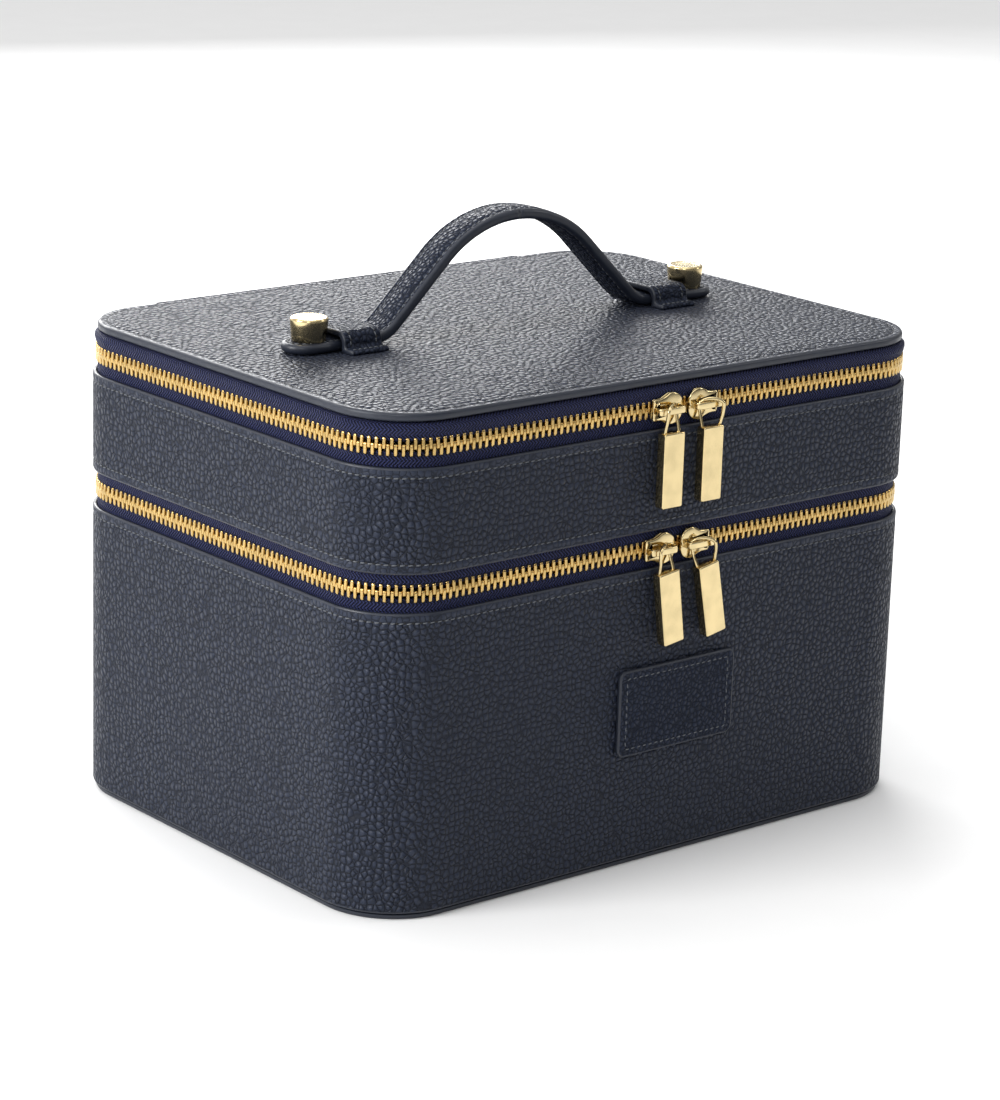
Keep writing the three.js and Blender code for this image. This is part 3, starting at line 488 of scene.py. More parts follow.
def sweep(name, path, profile, materials, closed=True, indices=None, sharp=None):
    """Skin along a path from a profile of (inset, z); a closed profile on an open path gets end caps."""
    profile = np.array(profile, float)
    rows, size = len(path.points), len(profile)
    points = np.zeros((rows, size, 3))
    points[:, :, :2] = path.points[:, None, :] - path.normals[:, None, :] * profile[None, :, :1]
    points[:, :, 2] = profile[None, :, 1]
    across = np.concatenate([[0], np.cumsum(np.linalg.norm(np.diff(profile, axis=0), axis=1))])
    uvs = np.stack(np.broadcast_arrays(path.s[:, None], across[None, :]), -1).reshape(-1, 2)
    faces, slots = [], []
    columns = size if closed else size - 1
    for r in range(rows if path.closed else rows - 1):
        for c in range(columns):
            r2, c2 = (r + 1) % rows, (c + 1) % size
            faces.append((r * size + c, r2 * size + c, r2 * size + c2, r * size + c2))
            slots.append(indices[c] if indices else 0)
    if closed and not path.closed:
        faces += caps(rows, size)
        slots += [slots[0], slots[0]]
    made = mesh_from(name, points.reshape(-1, 3), faces, materials, slots, uvs, sharp)
    turn_out(made)
    return made


def turn_out(made):
    """Faces of a closed mesh point outwards."""
    work = bmesh.new()
    work.from_mesh(made.data)
    bmesh.ops.recalc_face_normals(work, faces=work.faces)
    work.to_mesh(made.data)
    work.free()


def arc(cx, cy, r, start, end, steps):
    """Points on an arc, degrees."""
    angles = np.radians(np.linspace(start, end, steps + 1))
    return [(cx + r * math.cos(a), cy + r * math.sin(a)) for a in angles]


def outline_offset(outline, inset):
    """A closed outline moved inwards along its own normals."""
    p = np.array(outline, float)
    before, after = p - np.roll(p, 1, axis=0), np.roll(p, -1, axis=0) - p
    area = np.sum(p[:, 0] * np.roll(p[:, 1], -1) - np.roll(p[:, 0], -1) * p[:, 1])
    turn = 1 if area > 0 else -1
    na = np.stack([before[:, 1], -before[:, 0]], 1) * turn
    nb = np.stack([after[:, 1], -after[:, 0]], 1) * turn
    na /= np.maximum(np.linalg.norm(na, axis=1), 1e-9)[:, None]
    nb /= np.maximum(np.linalg.norm(nb, axis=1), 1e-9)[:, None]
    n = na + nb
    n /= np.maximum(np.sum(n * na, axis=1), 0.3)[:, None]
    return p - n * inset


AXES = {
    "xy": lambda u, v, h: (u, v, h),
    "xz": lambda u, v, h: (u, h, v),
    "yz": lambda u, v, h: (h, u, v),
}


def slab(name, outline, low, high, bevel, axes, materials, steps=3, edge=0, crown=0.0, sharp=None):
    """A slab with rounded edges: an outline in two axes, thick from low to high on the third.

    bevel is how far the edge turns, edge the material of the turned edges, and crown how far the two
    faces rise past the edges in the middle.
    """
    outline = np.array(outline, float)
    size = len(outline)
    turns = [math.pi / 2 * i / steps for i in range(steps + 1)]
    rings = [(bevel * (1 - math.sin(a)), low + bevel * (1 - math.cos(a))) for a in turns]
    rings += [(inset, low + high - h) for inset, h in reversed(rings)]
    if crown:
        run = 2.2 * bevel + 1.5
        rings = [(run, low - crown)] + rings + [(run, high + crown)]
    place = AXES[axes]
    points = [place(u, v, h) for inset, h in rings for u, v in outline_offset(outline, inset)]
    slots = []
    for r in range(len(rings) - 1):
        on_face = crown and r in (0, len(rings) - 2)
        slots += [0 if on_face else edge] * size
    # The caps start turned over: mesh_from then keeps their edges crisp, and turn_out turns them back.
    faces = skin(len(rings), size) + [face[::-1] for face in caps(len(rings), size)]
    made = mesh_from(name, points, faces, materials, slots + [0, 0], sharp=sharp)
    turn_out(made)
    return made


def rounded_outline(w, h, r, x=0.0, y=0.0, steps=6):
    a, b = w / 2 - r, h / 2 - r
    points = arc(x + a, y + b, r, 0, 90, steps) + arc(x - a, y + b, r, 90, 180, steps)
    return points + arc(x - a, y - b, r, 180, 270, steps) + arc(x + a, y - b, r, 270, 360, steps)


def frames_along(points):
    """Tangent and two steady side vectors at each point of a line in space."""
    p = np.array(points, float)
    tangent = np.gradient(p, axis=0)
    tangent /= np.linalg.norm(tangent, axis=1)[:, None]
    side = np.cross(tangent[0], (0.31, 0.52, 0.79))
    sides = []
    for t in tangent:
        side = side - t * (side @ t)
        side /= np.linalg.norm(side)
        sides.append(side.copy())
    sides = np.array(sides)
    return tangent, sides, np.cross(tangent, sides)


def tube(name, points, r, materials, sides=12):
    """Round wire along a line in space with domed ends."""
    p = np.array(points, float)
    tangent, a, b = frames_along(p)
    rows = [(p[0] - tangent[0] * r * 0.5, 0, 0.5)]
    rows += [(centre, i, 1.0) for i, centre in enumerate(p)]
    rows += [(p[-1] + tangent[-1] * r * 0.5, len(p) - 1, 0.5)]
    ring = np.radians(np.arange(sides) * 360 / sides)
    verts = [centre + share * r * (math.cos(angle) * a[i] + math.sin(angle) * b[i])
             for centre, i, share in rows for angle in ring]
    made = mesh_from(name, verts, skin(len(rows), sides) + caps(len(rows), sides), materials)
    turn_out(made)
    return made


TURN_STEPS = 64


def turned(name, profile, centre, materials):
    """Turned piece on an upright axis, from (radius, z) of its outside, closed by a flat face at each end."""
    turns = [2 * math.pi * i / TURN_STEPS for i in range(TURN_STEPS)]
    points = [(centre[0] + r * math.cos(a), centre[1] + r * math.sin(a), z)
              for r, z in profile for a in turns]
    faces = skin(len(profile), TURN_STEPS) + caps(len(profile), TURN_STEPS)
    made = mesh_from(name, points, faces, materials, sharp=35)
    turn_out(made)
    return made


def scatter(name, template, faces, places, materials, slots=None):
    """Many copies of a small closed mesh joined into one piece; places are (origin, x, y, z axes)."""
    template = np.array(template, float)
    count = len(template)
    points, all_faces = [], []
    for n, (origin, ax, ay, az) in enumerate(places):
        points.append(origin + template @ np.array([ax, ay, az]))
        all_faces += [tuple(n * count + i for i in f) for f in faces]
    return mesh_from(name, np.vstack(points), all_faces, materials, slots * len(places) if slots else None)


def stitch_template(step):
    """A stitch that rises out of its hole and dips back in, and after it a near-black lens in the needle
    hole, painted shade for the hollow.
    """
    sides, length = 6, STITCH_SHARE * step
    rings = [(-0.5, 0.45, -0.8), (-0.38, 0.85, -0.15), (0.0, 1.0, 0.15), (0.38, 0.85, -0.15),
             (0.5, 0.45, -0.8)]
    turns = [2 * math.pi * i / sides for i in range(sides)]
    points = [(x * length, share * THREAD_R * math.cos(a), (rise + 0.8 * share * math.sin(a)) * THREAD_R)
              for x, share, rise in rings for a in turns]
    thread = skin(len(rings), sides) + caps(len(rings), sides)
    first = len(points)
    # the needle hole: a near-black lens that stands for the shade in the hollow
    hole_rings = [(-0.3, 0.6), (0.03, 1.0), (0.04, 0.5)]
    points += [(step / 2 + share * HOLE_R * 1.2 * math.cos(a), share * HOLE_R * math.sin(a), height)
               for height, share in hole_rings for a in turns]
    hole = [tuple(first + i for i in face) for face in skin(3, sides) + caps(3, sides)]
    return points, thread + hole, [0] * len(thread) + [1] * len(hole)


def stitch_line(name, points, normals, material, pitch=STITCH_PITCH, closed=False):
    """Stitches at an even pitch along a line in space with surface normals."""
    p, n = np.array(points, float), np.array(normals, float)
    if closed:
        p, n = np.vstack([p, p[:1]]), np.vstack([n, n[:1]])
    s = np.concatenate([[0], np.cumsum(np.linalg.norm(np.diff(p, axis=0), axis=1))])
    count = max(1, round(s[-1] / pitch))
    step = s[-1] / count
    template, faces, slots = stitch_template(step)
    places = []
    for i in range(count):
        middle = (i + 0.5) * step
        a, b = middle - 0.3 * step, middle + 0.3 * step
        at = [np.array([np.interp(x, s, p[:, k]) for k in range(3)]) for x in (a, middle, b)]
        out = np.array([np.interp(middle, s, n[:, k]) for k in range(3)])
        out /= np.linalg.norm(out)
        along = at[2] - at[0]
        along -= out * (along @ out)
        along /= np.linalg.norm(along)
        side = np.cross(out, along)
        c, d = math.cos(STITCH_SLANT), math.sin(STITCH_SLANT)
        places.append((at[1], c * along + d * side, c * side - d * along, out))
    return scatter(name, template, faces, places, [material, NEEDLE_HOLE_SHADE], slots)


def stitch_round(name, z, body):
    """Stitches round the case at one height, in the groove of its leather."""
    points = np.column_stack([CASE.offset(GROOVE), np.full(len(CASE.points), z)])
    normals = np.column_stack([CASE.normals, np.zeros(len(CASE.points))])
    settle(stitch_line(name, points, normals, THREAD, closed=True), body, "leather")


def settle(piece, body, slot, *nodes):
    """The piece rides on its body and stands for CAD nodes, which it hides; slot is not used."""
    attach(piece, body)
    if nodes:
        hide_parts(*nodes)


# ------------------------------------------------------------------ leather walls
GROOVE = 0.22  # how deep a stitch line sinks in
LEATHER_T = 1.3
TAPE_SEAM = 8.3  # leather past the foam, over the tape
BACKING = 2.4  # leather with its foam


def wall_profile(z0, z1, stitched_low):
    """(inset, z) round a leather wall: painted edges, a turned rim and a groove under each stitch line."""
    t = LEATHER_T
    outer = [(0.55, z0), (0.15, z0 + 0.2), (0.0, z0 + 0.7), (0.0, z0 + 1.3)]
    if stitched_low:
        outer += groove(z0 + STITCH_INSET, 1)
    outer += [(0.0, z) for z in np.linspace(z0 + 6, z1 - 6, max(2, int((z1 - z0) / 8)))]
    outer += groove(z1 - STITCH_INSET, 1)
    outer += [(0.0, z1 - 1.3), (0.0, z1 - 0.7), (0.15, z1 - 0.2), (0.55, z1)]
    inner = [(t, z1), (t, z1 - TAPE_SEAM), (BACKING, z1 - TAPE_SEAM)]
    inner += [(BACKING, z0 + TAPE_SEAM), (t, z0 + TAPE_SEAM), (t, z0)] if stitched_low else [(BACKING, z0)]
    return outer + inner


def groove(z, way):
    """The leather pulled in under a stitch line."""
    steps = [(-1.3, 0.0), (-0.8, 0.25), (-0.35, 0.9), (0.0, 1.0), (0.35, 0.9), (0.8, 0.25), (1.3, 0.0)]
    return [(GROOVE * depth, z + way * dz) for dz, depth in steps]


def leather_wall(name, node, stitched_low):
    low, high = span(node)
    z0, z1 = low[2], high[2]
    profile = wall_profile(z0, z1, stitched_low)
    indices = []
    for (_, za), (_, zb) in zip(profile, profile[1:] + profile[:1]):
        middle = (za + zb) / 2
        at_top = middle > z1 - 0.75
        at_bottom = middle < z0 + 0.75
        in_hem = middle > z1 - STITCH_INSET or (stitched_low and middle < z0 + STITCH_INSET)
        indices.append(1 if at_top or at_bottom else 2 if in_hem else 0)
    return sweep(name, CASE, profile, [LEATHER, EDGE, LEATHER_HEM], indices=indices)


def build_walls():
    lower = leather_wall("lower_leather", "lower_cover", False)
    settle(lower, "lower_case", "leather", "lower_cover")
    middle = leather_wall("middle_leather", "middle_cover", True)
    settle(middle, "middle_tier", "leather", "middle_cover")
    z = span("lower_cover")[1][2] - STITCH_INSET
    stitch_round("stitches_lower_top", z, "lower_case")
    low, high = span("middle_cover")
    for name, z in (("low", low[2] + STITCH_INSET), ("top", high[2] - STITCH_INSET)):
        stitch_round(f"stitches_middle_{name}", z, "middle_tier")


PANEL_CAP = 20.0  # flat panels are capped this far inside the outline


def capped(name, path, profile, materials, indices=None):
    """A panel or tray: a skin round the outline with its first and last rings closed by flat faces."""
    made = sweep(name, path, profile, materials, closed=False, indices=indices)
    rows, size = len(path.points), len(profile)
    work = bmesh.new()
    work.from_mesh(made.data)
    work.verts.ensure_lookup_table()
    for column in (0, size - 1):
        work.faces.new([work.verts[r * size + column] for r in range(rows)])
    bmesh.ops.recalc_face_normals(work, faces=work.faces)
    work.to_mesh(made.data)
    work.free()
    made.data.set_sharp_from_angle(angle=math.radians(50))
    return made


def build_base():
    """Covered panel under the lower tier, its edge set in a little from the wall."""
    low, high = span("base_panel")
    inset, r = HALF_W - high[0], 0.9
    profile = [(PANEL_CAP, low[2])] + [(inset + r - x, low[2] + r + z) for x, z in arc(0, 0, r, -90, 0, 4)]
    profile += [(inset, high[2] - 0.4), (inset + 0.5, high[2]), (PANEL_CAP, high[2])]
    made = capped("base_leather", CASE, profile, [LEATHER, EDGE], [0] + [1] * 6 + [0])
    settle(made, "lower_case", "leather", "base_panel")


# ------------------------------------------------------------------ lid
def build_lid():
    low, high = span("lid_cover")
    inset, z0, z1 = HALF_W - high[0], low[2], high[2]
    rim, r = z1 - 0.3, 1.1
    profile = [(PANEL_CAP, z1 - 0.9), (inset + 1.3, z1 - 0.9), (inset + 1.3, z0), (inset + 0.5, z0)]
    profile += [(inset + 0.1, z0 + 0.25), (inset, z0 + 0.8)]
    profile += [(inset + r - x, rim - r + z) for x, z in arc(0, 0, r, 0, 90, 5)]
    edge_faces = len(profile) - 1
    line = inset + r + 2.1
    profile += [(line + dz, rim - GROOVE * depth) for (depth, _), dz in
                zip([(0.1, 0), (0.9, 0), (1, 0), (0.9, 0), (0.1, 0)], (-0.9, -0.3, 0.0, 0.3, 0.9))]
    profile += [(inset + 6, rim + 0.12), (inset + 11, z1), (PANEL_CAP, z1)]
    indices = [0] + [1] * (edge_faces - 1) + [2] * 3 + [0] * (len(profile) - edge_faces - 3)
    made = capped("lid_leather", CASE, profile, [LEATHER, EDGE, LEATHER_HEM], indices)
    settle(made, "lid", "leather", "lid_cover")
    points = np.column_stack([CASE.offset(line), np.full(len(CASE.points), rim - GROOVE)])
    normals = np.tile((0.0, 0.0, 1.0), (len(points), 1))
    settle(stitch_line("stitches_lid", points, normals, THREAD_DARK, closed=True), "lid", "leather")


# ------------------------------------------------------------------ zips
CHAIN_INSET = 2.0
TOOTH_ROOT = 1.7  # middle of the chain to the tape
TAPE_T = 0.8
STOP_ROOM = 3.0  # bare chain at each end, for the stop
TAPE_INSET = 1.6
TAPE_TUCK = 8.0  # tape that runs on under the hinge strip
ZIP = zip_path(zip_end())
TAPE_PATH = zip_path(zip_end() - TAPE_TUCK)
# A tooth's section, in shares of half its width and depth, and its rings of (height, half width, half
# depth): a flat leg and a rounded interlocking head.
TOOTH_SECTION = [(1, 0.78), (0.72, 1), (-0.72, 1), (-1, 0.78), (-1, -0.78), (-0.72, -1), (0.72, -1),
                 (1, -0.78)]
TOOTH_RINGS = [(3.05, 0.42, 0.8), (2.9, 0.55, 0.98), (2.2, 0.60, 1.05), (1.25, 0.60, 1.08), (0.7, 0.58, 1.15),
               (-0.35, 0.60, 1.18), (-0.75, 0.50, 1.02), (-0.95, 0.24, 0.6)]


def joint(name):
    return next(j for j in frame["joints"] if j["name"] == name)


def chain_height(level):
    return joint(f"pull_{level}_left_swing")["pos_m"][2] / MM


def teeth(name, node, body, chain_z, side):
    """One row of separate teeth; the two rows stand half a pitch apart."""
    template = [(u * w, v * d, z) for z, w, d in TOOTH_RINGS for u, v in TOOTH_SECTION]
    faces = skin(len(TOOTH_RINGS), len(TOOTH_SECTION)) + caps(len(TOOTH_RINGS), len(TOOTH_SECTION))
    count = int((ZIP.length - 2 * STOP_ROOM) / TOOTH_PITCH)
    start = (ZIP.length - count * TOOTH_PITCH) / 2 + (0.25 if side > 0 else 0.75) * TOOTH_PITCH
    stations = start + TOOTH_PITCH * np.arange(count)
    points, normals = ZIP.at(stations, CHAIN_INSET)
    places = []
    for (x, y), (nx, ny) in zip(points, normals):
        along = np.array([ny, -nx, 0.0]) * side
        out, up = np.array([nx, ny, 0.0]), np.array([0.0, 0.0, side])
        places.append((np.array([x, y, chain_z]), along, out, up))
    made = scatter(name, template, faces, places, [TOOTH_GOLD])
    turn_out(made)
    made.data.set_sharp_from_angle(angle=math.radians(50))
    settle(made, body, "brass", node)


def straight_tape(name, node, body, chain_z, side, hidden_z):
    """Tape from the roots of the teeth, with a corded edge, to its hidden edge behind the leather."""
    a, b = TAPE_INSET, TAPE_INSET + TAPE_T
    near = chain_z + side * TOOTH_ROOT
    bead = [(a - 0.15, near + side * 0.6), (a + 0.4, near), (b + 0.15, near + side * 0.6)]
    profile = bead + [(b, near + side * 1.5), (b, hidden_z), (a, hidden_z)]
    profile += [(a, z) for z in np.linspace(hidden_z, near + side * 1.5, 5)[1:]]
    made = sweep(name, TAPE_PATH, profile, [TAPE], sharp=60)
    settle(made, body, "zip_tape", node)


def lid_tape(name, node, body, chain_z):
    """The lid's tape bows out over the teeth and turns in under the lid."""
    top = span(node)[1][2]
    near = chain_z + TOOTH_ROOT
    outer = [(TAPE_INSET - 0.15, near + 0.6), (TAPE_INSET - 0.2, near + 1.5), (0.9, near + 2.6),
             (0.62, near + 3.8), (0.7, near + 4.9), (1.1, top - 0.9), (1.9, top - 0.25), (3.0, top)]
    inner = [(10.6, top), (10.6, top - TAPE_T), (3.2, top - TAPE_T), (2.2, top - 1.2), (1.6, near + 4.6),
             (1.5, near + 3.6), (TAPE_INSET + TAPE_T, near + 1.4), (TAPE_INSET + 0.9, near + 0.6),
             (TAPE_INSET + 0.4, near)]
    made = sweep(name, TAPE_PATH, outer + inner, [TAPE], sharp=60)
    settle(made, body, "zip_tape", node)


def build_zips():
    tiers = {"lower": ("lower_case", "middle_tier"), "upper": ("middle_tier", "lid")}
    for level, (low_body, high_body) in tiers.items():
        z = chain_height(level)
        teeth(f"teeth_{level}_bottom", f"zip_{level}_teeth_bottom", low_body, z, -1)
        teeth(f"teeth_{level}_top", f"zip_{level}_teeth_top", high_body, z, 1)
        hidden = span(f"zip_{level}_tape_bottom")[0][2]
        straight_tape(f"tape_{level}_bottom", f"zip_{level}_tape_bottom", low_body, z, -1, hidden)
        for side in ("left", "right"):
            low, high = span(f"zip_{level}_stop_{side}")
            mid = (low + high) / 2
            outline = rounded_outline(high[0] - low[0], high[2] - low[2], 0.9, mid[0], mid[2])
            made = slab(f"stop_{level}_{side}", outline, low[1], high[1], 0.4, "xz", [GOLD])
            settle(made, low_body, "brass", f"zip_{level}_stop_{side}")
    hidden = span("zip_lower_tape_top")[1][2]
    straight_tape("tape_lower_top", "zip_lower_tape_top", "middle_tier", chain_height("lower"), 1, hidden)
    lid_tape("tape_upper_top", "zip_upper_tape_top", "lid", chain_height("upper"))


# ------------------------------------------------------------------ sliders and pulls
SLIDER_HALF = 6.5
PLATE_T = 1.2
FLANGE_R = 0.42
CROWN_HALF = 5.9  # along X
CROWN_HALF_Z = 1.2
CROWN_SHIFT = 0.5
CROWN_RISE = 3.1
WIRE_R = 0.6
LOOP_HALF = 3.7  # middle of the loop to its legs
LOOP_REACH = 2.11  # axis of the crown's bar to the wire round it
LOOP_DROP = 7.2  # axis to the top of the bar pull
BAR_W, BAR_H, BAR_T = 9.0, 26.0, 4.0
PULL_TILT = {"upper_left": 0, "upper_right": 0, "lower_left": 8, "lower_right": 11}  # degrees off plumb


def bezier(a, b, c, steps=8):
    t = np.linspace(0, 1, steps + 1)[:, None]
    a, b, c = (np.array(p, float) for p in (a, b, c))
    return [tuple(p) for p in (1 - t) ** 2 * a + 2 * t * (1 - t) * b + t ** 2 * c]


def plate_outline(x, z, mouth):
    """Slider plate: narrow square tail, hips, and a wide round mouth towards mouth * X."""
    tail, head, end = 3.7, 5.6, SLIDER_HALF
    right = [(-end, 0), (-end, tail - 0.8)]
    right += bezier((-end, tail - 0.8), (-end, tail), (-end + 0.8, tail), 3)[1:]
    right += bezier((-end + 0.8, tail), (-1.8, tail - 0.2), (0.4, head - 0.4))[1:]
    right += bezier((0.4, head - 0.4), (1.4, head), (2.4, head - 0.1), 4)[1:]
    right += bezier((2.4, head - 0.1), (end, head - 0.9), (end, 1.3), 8)[1:]
    right += [(end - 0.25, 0.5), (end - 0.7, 0)]
    whole = right + [(u, -v) for u, v in reversed(right[1:-1])]
    return [(x + mouth * u, z + v) for u, v in whole]


def joined(name, pieces):
    """Pieces of one material as one mesh."""
    work = bmesh.new()
    for piece in pieces:
        work.from_mesh(piece.data)
    mesh = bpy.data.meshes.new(name)
    work.to_mesh(mesh)
    work.free()
    mesh.materials.append(pieces[0].data.materials[0])
    for piece in pieces:
        bpy.data.objects.remove(piece)
    made = bpy.data.objects.new(name, mesh)
    bpy.context.scene.collection.objects.link(made)
    return made


def crown_outline(x, y):
    """Bridge over the slider in X and Y, its feet in the plate at y and its bar in front."""
    sunk, r, inner_r = -0.4, 1.4, 0.4
    out, inside, bend = CROWN_HALF, CROWN_HALF - 0.9, CROWN_RISE + 0.5 - r
    outer = [(out, sunk), (out, bend)] + arc(out - r, bend, r, 0, 90, 5)[1:]
    outer += arc(-out + r, bend, r, 90, 180, 5) + [(-out, sunk)]
    inner = [(-inside, sunk), (-inside, bend)] + arc(-inside + inner_r, bend, inner_r, 180, 90, 3)[1:]
    inner += arc(inside - inner_r, bend, inner_r, 90, 0, 3) + [(inside, sunk)]
    return [(x + u, y - v) for u, v in outer + inner]


def build_slider(level, side):
    name = f"{level}_{side}"
    low, high = span(f"slider_{name}")
    x, z = (low[0] + high[0]) / 2, chain_height(level)
    mouth = 1 if side == "left" else -1
    crown_y = joint(f"pull_{name}_swing")["pos_m"][1] / MM
    plate_y, back_y = crown_y + CROWN_RISE, high[1] - PLATE_T
    plate = plate_outline(x, z, mouth)
    parts = [slab("plate", plate, plate_y, plate_y + PLATE_T, 0.45, "xz", [GOLD], crown=0.22)]
    parts.append(slab("back", plate, back_y, back_y + PLATE_T, 0.4, "xz", [GOLD]))
    crown = crown_outline(x - mouth * CROWN_SHIFT, plate_y)
    parts.append(slab("crown", crown, z - CROWN_HALF_Z, z + CROWN_HALF_Z, 0.4, "xy", [GOLD]))
    flange = [(-6.0, 3.3), (-4.4, 3.3), (-2.6, 3.5), (-0.8, 4.4), (0.6, 5.0), (2.4, 5.05), (3.8, 4.6)]
    for way in (-1, 1):
        for y in (plate_y + PLATE_T + 0.15, back_y - 0.15):
            edge = [(x + mouth * u, y, z + way * v) for u, v in flange]
            parts.append(tube("flange", edge, FLANGE_R, [GOLD], sides=8))
    post = rounded_outline(2.6, 0.8, 0.39, x + mouth * 3.2, z, steps=3)
    parts.append(slab("post", post, plate_y + 0.5, back_y + 0.5, 0.1, "xz", [GOLD]))
    made = joined(f"slider_{name}_metal", parts)
    settle(made, f"slider_{name}", "brass", f"slider_{name}")


def smooth_line(points, steps=6):
    """Catmull-Rom curve through points in space."""
    p = np.array(points, float)
    p = np.vstack([2 * p[0] - p[1], p, 2 * p[-1] - p[-2]])
    out = []
    for i in range(1, len(p) - 2):
        for t in np.linspace(0, 1, steps, endpoint=False):
            a, b, c, d = p[i - 1:i + 3]
            out.append(0.5 * (2 * b + (c - a) * t + (2 * a - 5 * b + 4 * c - d) * t ** 2
                              + (3 * b - a - 3 * c + d) * t ** 3))
    return out + [p[-2]]


def build_pull(level, side):
    """Wire loop through the crown and a bevelled bar, hanging a little off plumb on the lower zip."""
    name = f"{level}_{side}"
    pivot = Vector(joint(f"pull_{name}_swing")["pos_m"])
    way = 1 if side == "left" else -1
    level_turn = Matrix.Rotation(math.radians(PULL_TILT[name]), 3, "Y")
    foot = -LOOP_DROP - 0.4
    points = [(-way * LOOP_HALF * 0.95, -0.4, foot), (-way * LOOP_HALF * 0.98, -0.9, foot * 0.75)]
    points.append((-way * LOOP_HALF, -1.7, foot * 0.4))
    for a in np.radians(np.arange(180, -1, -30)):
        point = Vector((way * LOOP_HALF * math.cos(a), LOOP_REACH * math.cos(a), LOOP_REACH * math.sin(a)))
        points.append(tuple(level_turn @ point))
    points += [(way * LOOP_HALF, 1.7, foot * 0.4), (way * LOOP_HALF * 0.98, 0.9, foot * 0.75)]
    points.append((way * LOOP_HALF * 0.95, 0.4, foot))
    loop = tube(f"loop_{name}", smooth_line(points), WIRE_R, [GOLD], sides=14)
    bar = pull_bar(f"bar_{name}")
    turn = Matrix.Rotation(-math.radians(PULL_TILT[name]), 4, "Y")
    for piece, node in ((loop, f"pull_loop_{name}"), (bar, f"pull_bar_{name}")):
        piece.data.transform(Matrix.Translation(pivot) @ turn)
        settle(piece, f"pull_{name}", "brass", node)


def pull_bar(name):
    """Solid bar with bevelled edges and plain faces."""
    outline = rounded_outline(BAR_W, BAR_H, 0.7, 0, -LOOP_DROP - BAR_H / 2, steps=4)
    return slab(name, outline, -BAR_T / 2, BAR_T / 2, 0.45, "xz", [GOLD], sharp=35)


# ------------------------------------------------------------------ patch
def build_patch():
    low, high = span("front_patch")
    mid = (low + high) / 2
    w, h = high[0] - low[0], high[2] - low[2]
    outline = rounded_outline(w, h, 3.0, mid[0], mid[2])
    made = slab("patch_leather", outline, low[1], FRONT + 0.1, 0.75, "xz", [LEATHER_STRAP, EDGE], steps=4,
                edge=1)
    settle(made, "lower_case", "leather", "front_patch")
    inner = rounded_outline(w - 6.6, h - 5.8, 0.6, mid[0], mid[2], steps=2)
    points = densify([(u, low[1] + 0.05, v) for u, v in inner])
    normals = np.tile((0.0, -1.0, 0.0), (len(points), 1))
    settle(stitch_line("stitches_patch", points, normals, THREAD, closed=True), "lower_case", "leather")


def densify(points):
    """A closed line in space with points no more than a stitch apart."""
    out = []
    for a, b in zip(points, points[1:] + points[:1]):
        count = max(1, math.ceil(math.dist(a, b) / STITCH_PITCH))
        out += [tuple(np.add(a, np.subtract(b, a) * i / count)) for i in range(count)]
    return out


# ------------------------------------------------------------------ handle
def strap_shape():
    """Middle line of the raised strap from the boxes of its CAD pieces: half span, apex and slope."""
    grip_high = span("handle_grip")[1]
    leg_low, leg_high = span("handle_leg_right")
    return leg_high[0], grip_high[2] - STRAP_HALF_T, leg_low[2] + STRAP_HALF_T


SLOPE = math.radians(44)  # steepest stretch of the strap
UPPER_SHARE = 0.75  # the top bend's share of both bends' radii


def strap_line():
    """Right half of the strap's middle line: (x, z, slope) from the top of the grip down to the lid."""
    reach, apex, flat = strap_shape()
    rise = apex - flat
    bends = (reach - rise / math.tan(SLOPE)) / math.tan(SLOPE / 2)
    upper, lower = UPPER_SHARE * bends, (1 - UPPER_SHARE) * bends
    line = [(upper * math.sin(a), apex - upper + upper * math.cos(a), a) for a in np.linspace(0, SLOPE, 22)]
    end = (reach - lower * math.sin(SLOPE), flat + lower - lower * math.cos(SLOPE))
    start = line[-1][:2]
    for t in np.linspace(0, 1, 5)[1:-1]:
        line.append((start[0] + (end[0] - start[0]) * t, start[1] + (end[1] - start[1]) * t, SLOPE))
    line += [(reach - lower * math.sin(a), flat + lower - lower * math.cos(a), a)
             for a in np.linspace(SLOPE, 0, 12)]
    return line


def strap_section():
    """Section of the strap: grained faces with a stitch groove and thick round painted edges."""
    r, face, edge = 1.5, STRAP_HALF_T, STRAP_HALF_W
    quarter = [(0.0, face + 0.28), (edge * 0.45, face + 0.2), (edge - 3.4, face), (edge - 2.7, face - 0.2),
               (edge - 2.4, face - 0.24), (edge - 2.1, face - 0.2), (edge - 1.6, face - 0.02),
               (edge - 1.2, face - 0.02)]
    quarter += [(edge - r + x, face - r + n) for x, n in arc(0, 0, r, 75, 0, 5)]
    upper = [(-y, n) for y, n in reversed(quarter[1:])] + quarter
    points = upper + [(y, -n * 0.92) for y, n in reversed(upper)]
    at_edge = [abs(y) > edge - 1.4 for y, n in points]
    return points, [1 if here and after else 0 for here, after in zip(at_edge, at_edge[1:] + at_edge[:1])]


def strap_mesh(name, line, way):
    section, slots = strap_section()
    points = [(way * (x + n * math.sin(a)), y, z + n * math.cos(a)) for x, z, a in line for y, n in section]
    faces = skin(len(line), len(section)) + caps(len(line), len(section))
    made = mesh_from(name, points, faces, [LEATHER_STRAP, EDGE], slots * (len(line) - 1) + [1, 1])
    turn_out(made)
    return made


